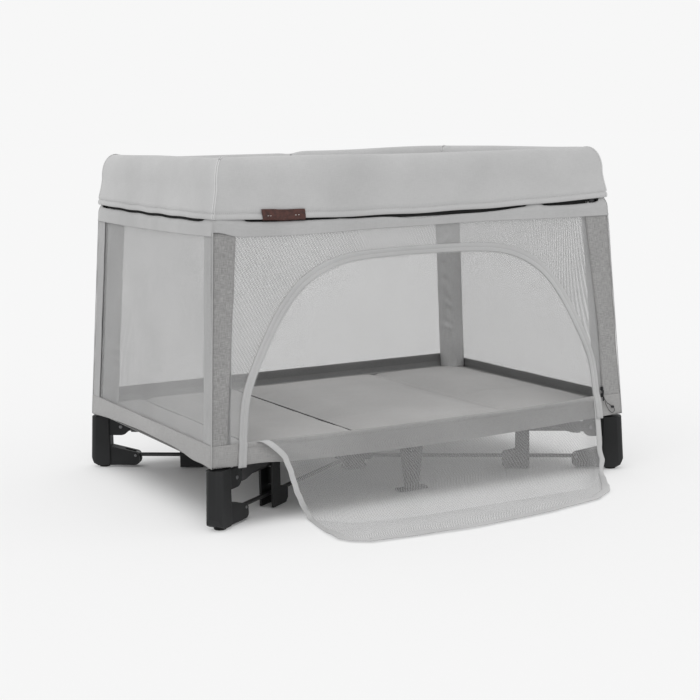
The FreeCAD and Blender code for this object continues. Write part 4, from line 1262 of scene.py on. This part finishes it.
def wrinkle_mattress(piece, low):
    """Faint unevenness, a long crease on the right panel, and folds that run off the seams."""
    for vertex in piece.data.vertices:
        x, y, z = vertex.co
        if z < low + 0.012:
            continue
        z += 0.0011 * swell((x, y, 0), 0.10, 2) + 0.0005 * swell((x, y * 3, 0), 0.03, 5)
        z -= 0.0016 * hump(y, -0.077 + 0.01 * math.sin(x * 9), 0.012) * smooth(x, 0.25, 0.30)
        for seam in SEAMS:
            near = abs(x - seam)
            beside = smooth(0.05 - near, 0.0, 0.05) * smooth(near, 0.0, 0.01)
            z -= 0.0010 * beside * max(0.0, math.sin(y * 95 + seam * 40))
        vertex.co.z = z


def mattress_seams():
    """A near-black cord sunk in the two deep cross seams as painted shade in their grooves, stitches down every
    seam's flanks, and piping round the mattress's upper rim."""
    z = MATTRESS_HIGH.z - 0.0072

    def across(x, inset, height):
        """A straight line over the mattress at x, short of both its edges by inset."""
        reach = MATTRESS_HIGH.y - inset
        return [Vector((x, mix(-reach, reach, share), height)) for share in shares(40)]

    # Near-black cords in the two deep seams: painted shade in their grooves.
    seam_shade_cords = [across(seam, 0.008, z - 0.0026) for seam in SEAMS[:2]]
    rows = []
    for seam in SEAMS:
        for way in (-1, 1):
            rows += stitches_along(across(seam + way * 0.0038, 0.010, z), 0.0032, 0.0014)
    rim = [p + Vector((0, 0, MATTRESS_HIGH.z - 0.0062)) for p in mattress_outline(260)]
    for made in (tubes_piece("mattress_seams", seam_shade_cords, 0.0016, PAINTED_SHADE_LINING, sides=7),
                 tubes_piece("mattress_stitches", rows, 0.00045, THREAD, sides=5),
                 tubes_piece("mattress_piping", [rim + rim[:2]], 0.0016, SKIRT_CLOTH, sides=8)):
        placed(made, "mattress")


def floor_cloth(corner):
    """A quarter of the cloth under the mattress, which rides on its corner's floor tube."""
    x_sign, y_sign = CORNERS[corner]
    x_reach, y_reach = FOOT_HALF[0] - 0.011, FOOT_HALF[1] - 0.011

    def point(s, t):
        dip = -0.0015 * math.sin(math.pi * s) * math.sin(math.pi * t)
        return Vector((x_sign * x_reach * s, y_sign * y_reach * t, FLOOR_CLOTH_TOP - 0.001 + dip))

    # The rows run the other way on two of the quarters, so that all four look down.
    rows = [row[::x_sign * y_sign] for row in rows_of(16, 16, point)]
    made = cloth_piece(f"floor_cloth_{corner}", rows, SKIRT_CLOTH, -UP, 0.0008)
    if corner == "front_left":
        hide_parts("floor_cloth")
    placed(made, f"tube_{corner}")
    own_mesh(made)


# ---------------------------------------------------------------- tab and screws

def hem_tab():
    """The leather tab folded up round the front hem, with two rows of pale stitches."""
    low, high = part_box("hem_tag")
    out = -(RAIL_LINE[1] + CUFF_HALF + HEM_FLARE["x"])

    def hem_at(run):
        return CUFF_BOTTOM + hem_shift("front", run / (RAIL_LINE[0] + CUFF_HALF))

    profile = ((0.0085, 0.0012), (0.004, -0.0008), (0.001, -0.0013), (-0.0012, 0.0005), (-0.0017, 0.004),
               (-0.0018, 0.008), (-0.0017, 0.012), (-0.0015, 0.016), (-0.0014, 0.0195))
    rows = []
    for back, up in profile:
        row = []
        for t in shares(32):
            run = mix(low.x, high.x, t)
            slant = mix(0.0012, -0.0006, t) + 0.0004 * math.sin(t * 9)
            x = run + 0.0035 * (up / 0.02) * (-1 if t < 0.5 else -0.5) * abs(2 * t - 1)
            row.append(Vector((x, out + back + 0.0005 * swell((t, up, 0), 0.2, 3), hem_at(run) + up + slant)))
        rows.append(row)
    made = cloth_piece("leather_tab", rows, TAB_LEATHER, FRONTWARDS, 0.0016)
    made.modifiers[0].offset = 1
    softened(made, 0.0005)
    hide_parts("hem_tag")
    rows = []
    for start, stop in ((0.10, 0.22), (0.74, 0.88)):
        runs = [mix(low.x, high.x, mix(start, stop, share)) for share in shares(8)]
        rows += stitches_along([Vector((run, out - 0.0036, hem_at(run) + 0.0075)) for run in runs], 0.0026, 0.0022)
    for piece in (made, tubes_piece("leather_tab_stitches", rows, 0.0005, PALE_THREAD, sides=6)):
        placed(piece, "front_rail_left")


def foot_screws(corner):
    """Domed screw heads over the ends of the foot's two pins, on both cheeks, each with a cross recess."""
    hinge = next(j for j in frame["joints"] if {j["parent"], j["child"]} == {f"tube_{corner}", f"corner_{corner}"})
    pivot, side = Vector(hinge["pos_m"]), Vector(hinge["axis"]).normalized()
    inward = Vector((-pivot.x, -pivot.y, 0)).normalized()
    cheek = 0.015
    # Each ring's share of the head's radius on and between the four arms of the cross, and its height.
    rings = ((1.0, 1.0, -0.0004), (1.0, 1.0, 0.0006), (0.92, 0.92, 0.0011), (0.62, 0.62, 0.0016),
             (0.50, 0.50, 0.0016), (0.42, 0.16, 0.0008))
    sides = 16
    vertices, faces = [], []
    for centre, radius in ((pivot, 0.0042), (pivot + inward * 0.033 - UP * 0.069, 0.0034)):
        for way in (-1, 1):
            first = len(vertices)
            for arm, between, height in rings:
                for k in range(sides):
                    turn = math.tau * k / sides
                    share = between if k % 4 else arm
                    vertices.append(centre + side * way * (cheek + height)
                                    + (inward * math.cos(turn) + UP * math.sin(turn)) * radius * share)
            faces += ring_quads(len(rings), sides, first)
            faces.append(tuple(first + (len(rings) - 1) * sides + k for k in range(sides)))
            faces.append(tuple(first + k for k in reversed(range(sides))))
    made = new_piece(f"foot_screws_{corner}", vertices, faces, [SCREW_METAL])
    turned_out(made)
    placed(made, f"corner_{corner}")


# ---------------------------------------------------------------- the whole yard

camera_and_light()
floor()
dress_cad_nodes()
for side in SIDES:
    for end in (-1, 1):
        cuff_half(side, end)
        hem_stitches(side, end)
side_walls()
for corner in CORNERS:
    cuff_corner_piping(corner)
    corner_band(corner)
    corner_sleeve(corner)
    floor_cloth(corner)
    foot_screws(corner)
arch_binding()
door()
hinge_tape()
zip_parts()
mattress()
mattress_seams()
hem_tab()

bpy.context.view_layer.update()
